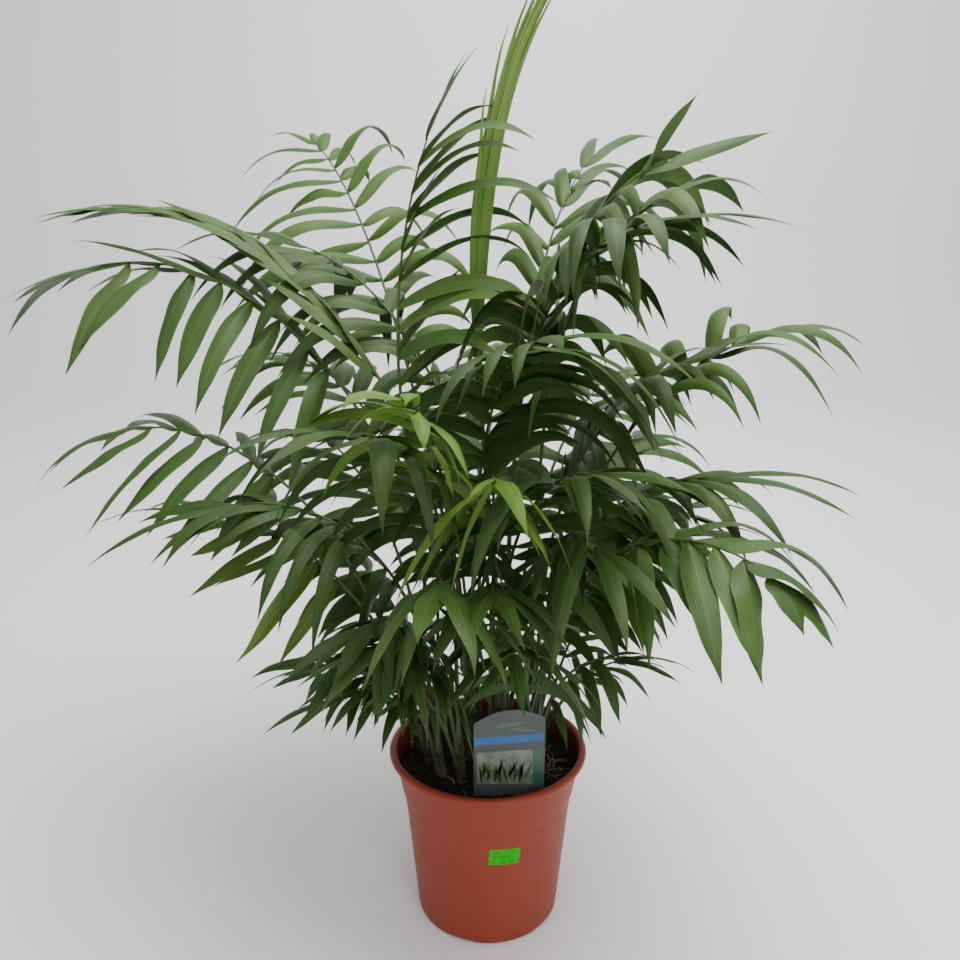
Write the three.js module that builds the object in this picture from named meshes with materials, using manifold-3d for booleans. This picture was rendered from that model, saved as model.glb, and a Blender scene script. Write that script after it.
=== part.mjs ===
// A parlour palm in its nursery pot, in millimetres, +Z up.
//
// The origin is the centre of the pot's flat underside. +X is to the right of the side that carries
// the plant label, and +Y points away from it. A heading is an angle in degrees, anticlockwise seen
// from above: 0 is right, 90 is back, 180 is left and -90 is front.
import * as THREE from "three";
import { mergeVertices } from "three/addons/utils/BufferGeometryUtils.js";
import Module from "manifold-3d";

const wasm = await Module();
wasm.setup();

// ---- driving dimensions ------------------------------------------------------------------------

const CLEARANCE = 0.3;          // gap that every touching pair of solids keeps

const POT = {
  rimRadius: 85.5,
  height: 158,
  lip: 7,                       // height of the rolled lip
  collar: 39,                   // from the top of the pot down to the ledge under the collar
  ledgeRadius: 73,
  ledgeStep: 1.5,               // how far the collar stands out over the body
  overhang: 6.5,                // how far the lip stands out over the top of the collar
  footRadius: 62,
  wall: 1.9,
  floor: 3,
  footRound: 2,                 // rounding of the edge of the foot
  ledgeBelow: 2,                // the ledge slopes from this far below its height
  ledgeAbove: 1,                // to this far above it
  lipRound: 1,                  // rounding of the lip's lower edge
  lipTop: 4,                    // width of the lip's rounded top
  notches: 5,                   // drainage notches round the foot
  notchWidth: 22,
  notchHeight: 2.6,
  notchDepth: 9,
  firstNotch: -112,             // heading of the first notch
  sides: 40,
};

const COMPOST = {
  top: 140,                     // mean height of its surface
  relief: 1.6,                  // how far the surface rises and falls
  edge: 3,                      // width of the slope where it meets the wall
  rings: 2,
};

const LABEL = {
  width: 58,
  thickness: 0.8,
  middle: 17,                   // x of its middle
  depth: -52,                   // y of its middle plane
  leftShoulder: 207,
  rightShoulder: 213,
  crown: 220,                   // top of the arch between the shoulders
  cardFoot: 139,                // where the card narrows to its stake
  stakeWidth: 14,
  stakeFoot: 118,
};

const CANE = {
  sides: 8,
  sunk: 12,                     // how far a cane reaches down into the compost
  swell: 1.12,                  // girth at the foot as a share of the stated radius
  taper: 0.42,                  // loss of girth from foot to top
};

const RIB = {
  stalkRadius: 1.8,             // at the foot of the stalk
  tipRadius: 1.1,
  stalkSteps: 3,
  pathSteps: 40,
};

const LEAFLET = {
  rootLength: 3.6,              // how much of the rib a leaflet grows from
  liftRange: 32,                // most that is drawn onto a frond's own lift, in degrees
  mostLift: 80,                 // never further than this out of the frond's plane
  bendPower: 1.8,               // how late along the leaflet the droop sets in
  pathSteps: 12,
  spreadRange: 18,
  end: { spread: 14, lift: 8, droop: 0.8, size: 1.2 },    // the last pair
  keel: 1 / 85,                 // depth of the keel as a share of the length
  leastKeel: 0.9,
  firstPair: 0.3,               // how far up its step of the blade the first pair grows
  lastPair: 0.7,                // how much of the last step is left off
  leastSize: 0.66,              // size of the smallest leaflets of a frond
  sizeRange: 0.34,
  sizeFrom: 0.12,               // part of a half wave that the sizes follow along the blade
  sizeOver: 0.72,
  lengthDraw: [0.9, 1.1],       // limits of the drawn factor on a leaflet's length
  droopDraw: [0.55, 1.45],      // limits of the drawn factor on its droop
};

const SPEAR = {
  cane: "middle_back", at: 1, foot: 235, heading: 8, length: 540, rise: 95, tip: 50, bend: 3,
  bladeFrom: 0.45,              // share of the length at which the folded leaflets start
  strips: 5,                    // bundles of folded leaflets, side by side
  bladeWidth: 25,
  firstTip: 0.74,               // share of the length at which the shortest strip ends
  stripWidth: 9,
  stripDepth: 5,
  splay: 1.5,                   // how far the tips stand apart, against the middle of the blade
};

// Canes: foot (x, y) in the compost, height, lean and its heading in degrees, radius at the foot.
const CANES = {
  west: { x: -52, y: -4, height: 36, lean: 10, heading: 185, radius: 3.5 },
  front_west: { x: -38, y: -24, height: 32, lean: 8, heading: 205, radius: 3.5 },
  back_west: { x: -44, y: 34, height: 40, lean: 8, heading: 145, radius: 3.5 },
  inner_west: { x: -34, y: 12, height: 62, lean: 5, heading: 155, radius: 4.5 },
  front: { x: -22, y: -30, height: 46, lean: 4, heading: 235, radius: 4 },
  middle_left: { x: -14, y: 4, height: 112, lean: 3, heading: 120, radius: 5 },
  middle_front: { x: 4, y: -14, height: 84, lean: 3, heading: 270, radius: 4.5 },
  middle_back: { x: 10, y: 18, height: 130, lean: 2, heading: 70, radius: 5.5 },
  east: { x: 26, y: -6, height: 92, lean: 4, heading: 5, radius: 4.5 },
  back_east: { x: 38, y: 20, height: 66, lean: 6, heading: 35, radius: 4.5 },
  front_east: { x: 34, y: -26, height: 44, lean: 5, heading: 320, radius: 4 },
  back: { x: -10, y: 40, height: 76, lean: 4, heading: 100, radius: 4.5 },
  far_back: { x: 16, y: 48, height: 48, lean: 6, heading: 75, radius: 4 },
};

// What the fronds of one part of the crown share. A stalk leaves its cane at `rise` degrees above
// level and its rib ends at `tip` degrees, turning later the larger `bend` is. `bare` is the share
// of the length without leaflets. `spread` is the leaflets' angle to the rib at the foot and at the
// tip of the blade, and `lift` how far they stand out of the frond's plane, above it or below it.
// `right` is what sets the right-hand leaflets apart, and `end` the last pair.
const OUTER = { rise: 82, tip: 4, bend: 1.8, bare: 0.6, pairs: 7, leaflet: 112, width: 15, droop: 1.6,
  spread: [66, 34], lift: 12, bends: 2 };
const INNER = { rise: 82, tip: 8, bend: 1.9, bare: 0.48, pairs: 7, leaflet: 108, width: 12.5, droop: 2.1,
  spread: [66, 34], lift: -26, bends: 1 };
const BACK = { rise: 79, tip: -6, bend: 1.8, bare: 0.5, pairs: 7, leaflet: 106, width: 14, droop: 1.8,
  spread: [70, 36], lift: -14, bends: 1 };
const SKIRT = { rise: 79, tip: 2, bend: 2, bare: 0.42, pairs: 7, leaflet: 80, width: 11, droop: 1.7,
  spread: [74, 42], lift: -40, bends: 1 };

// Each frond: the cane it springs from, at what share of its height, its heading and length, and
// what sets it apart from the rest of its part of the crown. `foot` is the side of the cane that
// the stalk springs from, where that isn't the side it leans to.
const FRONDS = {
  left_high: { ...OUTER, cane: "middle_left", at: 0.75, foot: 140, heading: 158, length: 550, rise: 84,
    tip: -2, bend: 1.55, bare: 0.6, leaflet: 114, width: 14, droop: 0.5, spread: [14, 8], lift: -26,
    right: { spread: [12, 8], lift: -34 }, end: { spread: 5, droop: 0.3 } },
  left_upper: { ...OUTER, cane: "inner_west", at: 0.9, heading: 162, length: 545, rise: 86, tip: -12,
    bend: 1.65, pairs: 8, leaflet: 104, width: 17, droop: 0.7, spread: [110, 86], lift: -72,
    right: { leaflet: 150, spread: [14, 8], lift: -30, droop: 0.5 } },
  left_middle: { ...OUTER, cane: "west", at: 0.9, heading: 166, length: 400, rise: 76, tip: -12,
    bare: 0.57, pairs: 8, leaflet: 102, width: 16, droop: 0.5, spread: [95, 46], lift: -62,
    right: { spread: [60, 40], lift: -50, droop: 1 } },
  left_lower: { ...OUTER, cane: "front_west", at: 0.6, heading: 156, length: 305, rise: 76, tip: 2,
    bend: 1.2, bare: 0.56, leaflet: 98, width: 14, droop: 0.45, spread: [88, 45], lift: -45,
    right: { lift: -20 } },
  top_left: { ...OUTER, cane: "middle_left", at: 0.97, foot: 84, heading: 114, length: 625, rise: 60,
    tip: 16, bare: 0.62, leaflet: 122, width: 13, droop: 1.8, spread: [72, 60], lift: -24,
    right: { leaflet: 96, spread: [70, 45], lift: 25, droop: 2 } },
  top_middle: { ...OUTER, cane: "middle_left", at: 0.9, foot: 200, heading: 178, length: 425, rise: 73,
    tip: 110, bend: 1.7, bare: 0.66, pairs: 7, leaflet: 108, width: 11, droop: 1.2, spread: [58, 26],
    lift: 50, end: { spread: 10, lift: 30, droop: 0.5, size: 0.75 } },
  top_right: { ...OUTER, cane: "middle_back", at: 0.8, foot: 20, heading: 12, length: 420, rise: 89,
    tip: 32, bend: 3, bare: 0.6, leaflet: 158, width: 17, droop: 2.4, spread: [26, 16], lift: -24,
    end: { spread: 20, lift: 70, droop: 0.2, size: 0.7 },
    right: { leaflet: 100, spread: [78, 64], lift: 8, droop: 2.8, end: { spread: 16, lift: -60, droop: 0.2 } } },
  right_high: { ...OUTER, cane: "east", at: 0.95, heading: 6, length: 420, rise: 89, tip: 24, bend: 4,
    leaflet: 138, width: 18, droop: 2.5, spread: [30, 18], lift: -22,
    right: { leaflet: 106, spread: [74, 56], lift: 4, droop: 2.7 }, end: { droop: 1.8, size: 0.8 } },
  right_middle: { ...OUTER, cane: "back_east", at: 0.95, heading: 4, length: 380, rise: 84, tip: 16,
    bare: 0.58, pairs: 8, leaflet: 84, width: 18, droop: 2.4, spread: [75, 50], lift: 35,
    right: { leaflet: 132, spread: [40, 26], lift: 6, droop: 2.6 }, end: { droop: 1.8, size: 0.85 } },
  right_front: { ...OUTER, cane: "front_east", at: 0.95, heading: -45, length: 335, rise: 85, tip: -26,
    bend: 1.75, bare: 0.54, pairs: 8, leaflet: 100, width: 20, droop: 2, spread: [42, 30], lift: 4,
    right: { leaflet: 86, spread: [64, 34], lift: -62, droop: 1.2 }, end: { size: 0.7, droop: 1.5 } },
  left_skirt: { ...SKIRT, cane: "front_west", at: 0.3, foot: 212, heading: 188, length: 150, rise: 84,
    bend: 1.4, pairs: 5, leaflet: 66, width: 10, droop: 1.2, spread: [70, 40], lift: -20 },
  front_left_skirt: { ...SKIRT, cane: "front", at: 0.4, heading: 229, length: 158, rise: 72, pairs: 5,
    leaflet: 52, width: 8 },
  young_left: { ...OUTER, cane: "front", at: 0.95, heading: -102, length: 350, rise: 86, tip: 22,
    bend: 2.6, bare: 0.7, pairs: 7, leaflet: 70, width: 12, droop: 2, spread: [80, 50], lift: -55,
    right: { leaflet: 88, spread: [70, 50], lift: -15 } },
  young_middle: { ...OUTER, cane: "middle_front", at: 0.95, heading: -91, length: 272, rise: 84, tip: 8,
    bend: 2.3, bare: 0.66, pairs: 6, leaflet: 86, width: 13, droop: 1.8, spread: [80, 45], lift: -52,
    right: { lift: -62 } },
  front_left: { ...OUTER, cane: "front_west", at: 0.9, heading: -86, length: 255, rise: 86, tip: 0,
    bend: 2.2, bare: 0.52, pairs: 8, leaflet: 98, width: 14, droop: 1.8, spread: [72, 36], lift: -60 },
  front_middle: { ...OUTER, cane: "east", at: 0.65, heading: -70, length: 252, rise: 86, tip: -10,
    bend: 2.2, bare: 0.5, pairs: 8, leaflet: 96, width: 14, droop: 1.8, spread: [72, 36], lift: -58 },
  right_skirt: { ...SKIRT, cane: "front_east", at: 0.55, foot: 0, heading: -24, length: 132, rise: 82,
    tip: 8, leaflet: 60, width: 10, pairs: 5 },
  inner_1: { ...INNER, cane: "inner_west", at: 0.6, heading: 190, length: 285, tip: -4, bare: 0.45,
    pairs: 7 },
  inner_2: { ...INNER, cane: "back_east", at: 0.85, foot: -100, heading: 5, length: 330, rise: 88,
    tip: 22, bend: 2.4, leaflet: 120, spread: [40, 24], lift: -20, droop: 2.3,
    right: { leaflet: 100, spread: [76, 56], lift: 0, droop: 2.5 } },
  inner_3: { ...INNER, cane: "middle_left", at: 0.82, heading: -70, length: 345, rise: 86, tip: 12,
    bend: 2.6, leaflet: 118, spread: [46, 26], lift: -30, droop: 2.4,
    right: { leaflet: 96, spread: [70, 40], lift: -10 } },
  inner_4: { ...INNER, cane: "middle_front", at: 0.8, foot: -45, heading: -62, length: 285, rise: 88,
    tip: 12, bare: 0.38, pairs: 8, droop: 2.3 },
  inner_5: { ...INNER, cane: "middle_left", at: 0.58, heading: 238, length: 312, rise: 88, tip: 14,
    bare: 0.38, pairs: 8, droop: 2.3 },
  inner_6: { ...INNER, cane: "east", at: 0.8, heading: -22, length: 262 },
  inner_7: { ...INNER, cane: "middle_back", at: 0.72, heading: 149, length: 420, rise: 84, tip: 14,
    leaflet: 112, droop: 2.4 },
  inner_8: { ...INNER, cane: "middle_back", at: 0.86, foot: -50, heading: -40, length: 400, rise: 88,
    tip: 6, bend: 3.4, leaflet: 120, spread: [44, 24], lift: -20, droop: 2.6,
    right: { leaflet: 104, spread: [64, 40], lift: 0 } },
  back_1: { ...BACK, cane: "back", at: 0.95, heading: 138, length: 400, rise: 70 },
  back_2: { ...BACK, cane: "back", at: 0.78, heading: 82, length: 390 },
  back_3: { ...BACK, cane: "far_back", at: 0.95, heading: 56, length: 380 },
  back_4: { ...BACK, cane: "far_back", at: 0.75, heading: 106, length: 330 },
  back_5: { ...BACK, cane: "back_west", at: 0.95, heading: 130, length: 320, rise: 76 },
  back_6: { ...BACK, cane: "back_east", at: 0.7, heading: 56, length: 300 },
  back_7: { ...BACK, cane: "middle_back", at: 0.45, heading: 64, length: 500, rise: 86, tip: 24,
    bend: 2.6, bare: 0.6, leaflet: 116, width: 13, spread: [50, 26], droop: 2.4 },
  skirt_1: { ...SKIRT, cane: "back", at: 0.5, heading: 108, length: 280, rise: 76, leaflet: 92 },
  skirt_2: { ...SKIRT, cane: "back_east", at: 0.45, heading: 22, length: 250, rise: 76 },
  skirt_3: { ...SKIRT, cane: "far_back", at: 0.5, heading: 40, length: 240, rise: 72 },
  skirt_4: { ...SKIRT, cane: "back_west", at: 0.7, heading: 151, length: 205, rise: 74 },
  skirt_5: { ...SKIRT, cane: "middle_front", at: 0.55, foot: -115, heading: -90, length: 225, rise: 84 },
  skirt_6: { ...SKIRT, cane: "east", at: 0.45, heading: 6, length: 228 },
  skirt_7: { ...SKIRT, cane: "inner_west", at: 0.4, heading: 244, length: 200 },
  skirt_8: { ...SKIRT, cane: "front_east", at: 0.5, heading: -100, length: 205, pairs: 5 },
  skirt_9: { ...SKIRT, cane: "front", at: 0.7, heading: -127, length: 175, rise: 80 },
};

// Seedlings too small to have a cane: a tuft of short fronds from one crown at the compost.
const SEEDLINGS = {
  left: { x: -61, y: 16, heading: 178, fronds: 3, length: 112 },
  right: { x: 52, y: 34, heading: 64, fronds: 3, length: 122 },
};
const TUFT = {
  crownRadius: 3.4,
  crownTaper: 0.8,              // radius at its top as a share of the radius at its foot
  crownHeight: 14,
  sunk: 5,                      // how deep the stalks start in the crown
  fan: 42,                      // degrees between one frond and the next
  rise: 60, riseRange: 16, tip: -8, bend: 1.4, bare: 0.5, pairs: 4, leaflet: 52, width: 8,
  droop: 1.9, spread: [66, 34], lift: -10, bends: 1,
  lengthDraw: [0.85, 1.15],     // limits of the drawn factor on a frond's length
};

// Seeds of the draws: each frond and each seedling's frond has its own run of them.
const FROND_SEEDS = 100;
const FIRST_SEEDLING_SEED = 1000;

// ---- vectors, draws and solids -----------------------------------------------------------------

const radians = THREE.MathUtils.degToRad;

const along = (start, direction, distance) => start.clone().addScaledVector(direction, distance);

/** The level direction of a heading. */
const level = (heading) => new THREE.Vector3(Math.cos(radians(heading)), Math.sin(radians(heading)), 0);

/** A repeatable draw from 0 to 1. */
function draw(seed) {
  const x = Math.sin(seed * 12.9898 + 4.1414) * 43758.5453;
  return x - Math.floor(x);
}

/** The value between the limits [low, high] at a share from 0 to 1. */
const within = ([low, high], share) => low + (high - low) * share;

/** A closed skin under construction: rings of points, and bands of faces between them. */
class Skin {
  points = [];

  faces = [];

  /** Adds a ring of points, anticlockwise seen from the end of the tube, and returns its indices. */
  ring(points) {
    this.points.push(...points);
    return points.map((_, k) => this.points.length - points.length + k);
  }

  face(a, b, c) {
    if (a !== b && b !== c && c !== a) this.faces.push(a, b, c);
  }

  /** Joins two rings; a ring of one point closes the band to that point. */
  band(from, to, isOpen = () => false) {
    const sides = Math.max(from.length, to.length);
    const at = (ring, k) => ring[ring.length === 1 ? 0 : k % sides];
    for (let k = 0; k < sides; k++) {
      if (!isOpen(k, 0)) this.face(at(from, k), at(from, k + 1), at(to, k + 1));
      if (!isOpen(k, 1)) this.face(at(from, k), at(to, k + 1), at(to, k));
    }
  }

  bands(rings) {
    rings.slice(1).forEach((ring, k) => this.band(rings[k], ring));
  }

  capStart(ring) {
    for (let k = 1; k < ring.length - 1; k++) this.face(ring[0], ring[k + 1], ring[k]);
  }

  capEnd(ring) {
    for (let k = 1; k < ring.length - 1; k++) this.face(ring[0], ring[k], ring[k + 1]);
  }

  solid() {
    return new wasm.Manifold(new wasm.Mesh({
      numProp: 3,
      vertProperties: new Float32Array(this.points.flatMap((point) => point.toArray())),
      triVerts: new Uint32Array(this.faces),
    }));
  }
}

/** A closed solid lofted through rings of points. */
function loft(rings) {
  const skin = new Skin();
  const placed = rings.map((ring) => skin.ring(ring));
  skin.capStart(placed[0]);
  skin.bands(placed);
  skin.capEnd(placed[placed.length - 1]);
  return skin.solid();
}

/** A round ring of points about `centre`, in the plane of `side` and `normal`. */
function roundRing(centre, side, normal, radius, sides) {
  return Array.from({ length: sides }, (_, k) => {
    const angle = radians(-90 + (360 * k) / sides);
    const across = along(centre, side, radius * Math.cos(angle));
    return along(across, normal, radius * Math.sin(angle));
  });
}

function solidOf(geometry) {
  geometry.deleteAttribute("normal");
  geometry.deleteAttribute("uv");
  const merged = mergeVertices(geometry);
  return new wasm.Manifold(new wasm.Mesh({
    numProp: 3,
    vertProperties: new Float32Array(merged.attributes.position.array),
    triVerts: new Uint32Array(merged.index.array),
  }));
}

function meshOf(name, solid, color, roughness) {
  const { vertProperties, triVerts } = solid.getMesh();
  const geometry = new THREE.BufferGeometry();
  geometry.setAttribute("position", new THREE.BufferAttribute(new Float32Array(vertProperties), 3));
  geometry.setIndex(new THREE.BufferAttribute(new Uint32Array(triVerts), 1));
  geometry.computeVertexNormals();
  const mesh = new THREE.Mesh(geometry, new THREE.MeshStandardMaterial({ color, roughness, metalness: 0 }));
  mesh.name = name;
  return mesh;
}

// ---- what is already standing, so that nothing new runs through it -------------------------------

const standing = [];

/** Notes a solid as standing; `ribOf` names the frond whose own leaflets may touch it. */
function stand(solid, ribOf) {
  standing.push({ solid, ribOf, box: solid.boundingBox() });
}

function boxesMeet(a, b) {
  return [0, 1, 2].every((axis) => a.min[axis] <= b.max[axis] && b.min[axis] <= a.max[axis]);
}

/** True when `solid` runs into nothing but the rib of its own frond. */
function isFree(solid, frondName) {
  const box = solid.boundingBox();
  return !standing.some((other) => {
    if (other.ribOf === frondName || !boxesMeet(box, other.box)) return false;
    const common = solid.intersect(other.solid);
    const meets = !common.isEmpty();
    common.delete();
    return meets;
  });
}

// ---- pot, compost and label ----------------------------------------------------------------------

const LEDGE = POT.height - POT.collar;
const LEDGE_FOOT = LEDGE - POT.ledgeBelow;
const LEDGE_TOP = LEDGE + POT.ledgeAbove;
const UNDER_LIP = POT.height - POT.lip;

/** Radius of the pot's outer wall at a height below the lip. */
function outerWall(height) {
  if (height <= LEDGE) return POT.footRadius + ((POT.ledgeRadius - POT.footRadius) * height) / LEDGE;
  const share = (height - LEDGE) / (UNDER_LIP - LEDGE);
  return POT.ledgeRadius + POT.ledgeStep + (POT.rimRadius - POT.overhang - POT.ledgeRadius) * share;
}

const innerWall = (height) => outerWall(height) - POT.wall;

function turned(profile) {
  const points = profile.map(([radius, height]) => new THREE.Vector2(radius, height));
  return solidOf(new THREE.LatheGeometry(points, POT.sides).rotateX(Math.PI / 2));
}

function makePot() {
  const { height, rimRadius, footRadius, floor, footRound, lipRound, lipTop } = POT;
  let pot = turned([
    [0, 0],
    [footRadius - footRound, 0],
    [footRadius, footRound],
    [outerWall(LEDGE_FOOT), LEDGE_FOOT],
    [outerWall(LEDGE_TOP), LEDGE_TOP],
    [outerWall(UNDER_LIP), UNDER_LIP],
    [rimRadius - lipRound, UNDER_LIP + lipRound],
    [rimRadius, UNDER_LIP + 3 * lipRound],
    [rimRadius - lipRound / 2, height - 1.5 * lipRound],
    [rimRadius - lipTop / 2, height],
    [rimRadius - lipTop, height - lipRound / 2],
    [innerWall(UNDER_LIP), UNDER_LIP],
    [innerWall(LEDGE_TOP), LEDGE_TOP],
    [innerWall(LEDGE_FOOT), LEDGE_FOOT],
    [innerWall(floor), floor],
    [0, floor],
  ]);
  for (let notch = 0; notch < POT.notches; notch++) {
    const heading = POT.firstNotch + (360 * notch) / POT.notches;
    const cutter = new THREE.BoxGeometry(POT.notchDepth, POT.notchWidth, 2 * POT.notchHeight);
    cutter.translate(footRadius, 0, 0).rotateZ(radians(heading));
    pot = pot.subtract(solidOf(cutter));
  }
  return pot;
}

/** The compost fills the pot, with a lightly uneven top. */
function makeCompost() {
  const foot = POT.floor + CLEARANCE;
  const edge = innerWall(COMPOST.top) - CLEARANCE;
  const ringAt = (radius, height, relief) => Array.from({ length: POT.sides }, (_, k) => {
    const angle = (2 * Math.PI * k) / POT.sides;
    const rise = relief * (2 * draw(k + 53 * radius) - 1);
    return new THREE.Vector3(radius * Math.sin(angle), -radius * Math.cos(angle), height + rise);
  });
  const rings = [[new THREE.Vector3(0, 0, foot)]];
  for (const height of [foot, LEDGE_FOOT, LEDGE_TOP, COMPOST.top - COMPOST.relief]) {
    rings.push(ringAt(innerWall(height) - CLEARANCE, height, 0));
  }
  for (let ring = COMPOST.rings; ring > 0; ring--) {
    rings.push(ringAt(((edge - COMPOST.edge) * ring) / COMPOST.rings, COMPOST.top, COMPOST.relief));
  }
  rings.push([new THREE.Vector3(0, 0, COMPOST.top)]);
  return loft(rings);
}

/** The label card with its arched top and its stake, grown all round by `margin`. */
function makeLabel(margin) {
  const { middle, crown, leftShoulder, rightShoulder, cardFoot, stakeFoot } = LABEL;
  const halfWidth = LABEL.width / 2 + margin;
  const halfStake = LABEL.stakeWidth / 2 + margin;
  const archHandle = 2 * (crown + margin) - (leftShoulder + rightShoulder) / 2;
  const card = new THREE.Shape();
  card.moveTo(middle - halfStake, stakeFoot - margin);
  card.lineTo(middle + halfStake, stakeFoot - margin);
  card.lineTo(middle + halfStake, cardFoot - margin);
  card.lineTo(middle + halfWidth, cardFoot - margin);
  card.lineTo(middle + halfWidth, rightShoulder);
  card.quadraticCurveTo(middle, archHandle, middle - halfWidth, leftShoulder);
  card.lineTo(middle - halfWidth, cardFoot - margin);
  card.lineTo(middle - halfStake, cardFoot - margin);
  const depth = LABEL.thickness + 2 * margin;
  const geometry = new THREE.ExtrudeGeometry(card, { depth, bevelEnabled: false, curveSegments: 8 });
  geometry.rotateX(Math.PI / 2).translate(0, LABEL.depth + depth / 2, 0);
  return solidOf(geometry);
}

// ---- canes ---------------------------------------------------------------------------------------

/** Direction in which a cane leans. */
function caneAxis({ lean, heading }) {
  const axis = level(heading).multiplyScalar(Math.sin(radians(lean)));
  return axis.setZ(Math.cos(radians(lean)));
}

const canePoint = (cane, share) =>
  along(new THREE.Vector3(cane.x, cane.y, COMPOST.top), caneAxis(cane), cane.height * share);

const caneRadius = (cane, share) => cane.radius * (CANE.swell - CANE.taper * share);

/** A cane from inside the compost to its blunt tip, grown all round by `margin`. */
function makeCane(cane, margin) {
  const axis = caneAxis(cane);
  const side = new THREE.Vector3(0, 1, 0).cross(axis).normalize();
  const normal = axis.clone().cross(side);
  const sunkShare = -(CANE.sunk + margin) / cane.height;
  const rings = [sunkShare, 0, 1].map((share) => {
    const radius = caneRadius(cane, Math.max(share, 0)) + margin;
    return roundRing(canePoint(cane, share), side, normal, radius, CANE.sides);
  });
  rings.push([canePoint(cane, 1 + cane.radius / cane.height)]);
  return loft(rings);
}

// ---- the path of a frond's rib -------------------------------------------------------------------

/** Points and directions along a rib at even steps, in one upright plane. */
function ribPath(start, frond) {
  const steps = RIB.pathSteps;
  const forward = level(frond.heading);
  const points = [start.clone()];
  const directions = [];
  for (let step = 0; step < steps; step++) {
    const share = (step + 0.5) / steps;
    const angle = radians(frond.rise + (frond.tip - frond.rise) * share ** frond.bend);
    const direction = forward.clone().multiplyScalar(Math.cos(angle)).setZ(Math.sin(angle));
    directions.push(direction);
    points.push(along(points[step], direction, frond.length / steps));
  }
  directions.push(directions[steps - 1].clone());
  const side = new THREE.Vector3(-forward.y, forward.x, 0);
  return { points, directions, side, steps, length: frond.length };
}

/** Point, direction and upper side of a rib at a share of its length. */
function onPath(path, share) {
  const step = Math.min(Math.floor(share * path.steps), path.steps - 1);
  const part = share * path.steps - step;
  const point = path.points[step].clone().lerp(path.points[step + 1], part);
  const direction = path.directions[step].clone().lerp(path.directions[step + 1], part).normalize();
  return { point, direction, normal: direction.clone().cross(path.side) };
}

function ribRing(path, share) {
  const { point, normal } = onPath(path, share);
  const radius = RIB.stalkRadius + (RIB.tipRadius - RIB.stalkRadius) * share;
  return roundRing(point, path.side, normal, radius, 3);
}

/** Where the pairs of leaflets leave the rib, as shares of its length. */
function pairPlaces(frond) {
  const blade = 1 - halfRoot(frond) - frond.bare;
  return Array.from({ length: frond.pairs }, (_, pair) => {
    const place = (pair + LEAFLET.firstPair) / (frond.pairs - LEAFLET.lastPair);
    return frond.bare + blade * place;
  });
}

// ---- leaflets ------------------------------------------------------------------------------------

/** Half the width of a leaflet at a share of its length, as a share of its full width. */
const leafletHalf = (share) => (share ** 0.5 * (1 - share) ** 0.9) / 0.803;

/** The middle line of one leaflet, which leaves its rib sideways and bends down under its weight. */
function leafletPath({ root, direction, side, normal, spread, lift, length, droop }) {
  const steps = LEAFLET.pathSteps;
  const outward = side.clone().multiplyScalar(Math.cos(lift)).addScaledVector(normal, Math.sin(lift));
  const start = direction.clone().multiplyScalar(Math.cos(spread)).addScaledVector(outward, Math.sin(spread));
  start.normalize();
  const across = direction.clone().multiplyScalar(Math.sin(spread)).addScaledVector(side, -Math.cos(spread));
  across.addScaledVector(start, -across.dot(start)).normalize();
  const path = [{ point: root.clone(), forward: start.clone(), across }];
  for (let step = 0; step < steps; step++) {
    const last = path[step];
    const forward = start.clone();
    forward.z -= droop * ((step + 0.5) / steps) ** LEAFLET.bendPower;
    forward.normalize();
    const turn = new THREE.Quaternion().setFromUnitVectors(last.forward, forward);
    path.push({
      point: along(last.point, forward, length / steps),
      forward,
      across: last.across.clone().applyQuaternion(turn),
    });
  }
  return path;
}

/** The ring of a leaflet's solid at a step of its path: two edges and the keel between them. */
function leafletRing(path, leaf, step, margin) {
  const { point, forward, across } = path[step];
  const over = across.clone().multiplyScalar(leaf.hand);
  const under = forward.clone().cross(over);
  const half = leafletHalf(step / LEAFLET.pathSteps) * leaf.width + margin;
  const keel = Math.max(LEAFLET.leastKeel, leaf.length * LEAFLET.keel) + margin;
  const ring = [along(point, over, half), along(point, under, keel), along(point, over, -half)];
  if (margin) ring.push(along(point, under, -margin));
  return ring;
}

/** The rings of a leaflet outside its root, ending in its tip. */
function leafletRings(path, leaf, margin) {
  const steps = LEAFLET.pathSteps;
  const stations = leaf.bends === 2 ? [steps / 3, (2 * steps) / 3] : [(5 * steps) / 12];
  if (margin) stations.unshift(1);
  const tip = along(path[steps].point, path[steps].forward, margin);
  return [...stations.map((step) => leafletRing(path, leaf, step, margin)), [tip]];
}

/** What each leaflet of a frond is: where it starts, how it points and how long it is. */
function leafletsOf(path, frond, seed) {
  return pairPlaces(frond).flatMap((share, pair) => {
    const isEnd = pair === frond.pairs - 1;
    const place = (share - frond.bare) / (1 - frond.bare);
    const { point, direction, normal } = onPath(path, share);
    const wave = Math.sin(Math.PI * (LEAFLET.sizeFrom + LEAFLET.sizeOver * place));
    const size = LEAFLET.leastSize + LEAFLET.sizeRange * wave;
    return [1, -1].map((hand) => {
      const own = hand > 0 ? frond : { ...frond, ...frond.right };
      const bold = draw(seed + 4 * pair + hand);
      const long = draw(seed + 4 * pair + hand + 0.5);
      const usual = {
        spread: within(own.spread, place) + LEAFLET.spreadRange * (bold - 0.5),
        lift: own.lift + LEAFLET.liftRange * long,
        droop: own.droop,
        size: 1,
      };
      const pose = isEnd ? { ...LEAFLET.end, ...own.end } : usual;
      return {
        hand,
        root: point,
        direction,
        normal,
        side: path.side.clone().multiplyScalar(hand),
        spread: radians(pose.spread),
        lift: radians(pose.lift),
        length: own.leaflet * size * pose.size * within(LEAFLET.lengthDraw, long),
        width: frond.width,
        droop: pose.droop * within(LEAFLET.droopDraw, bold),
        bends: frond.bends,
      };
    });
  });
}

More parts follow.
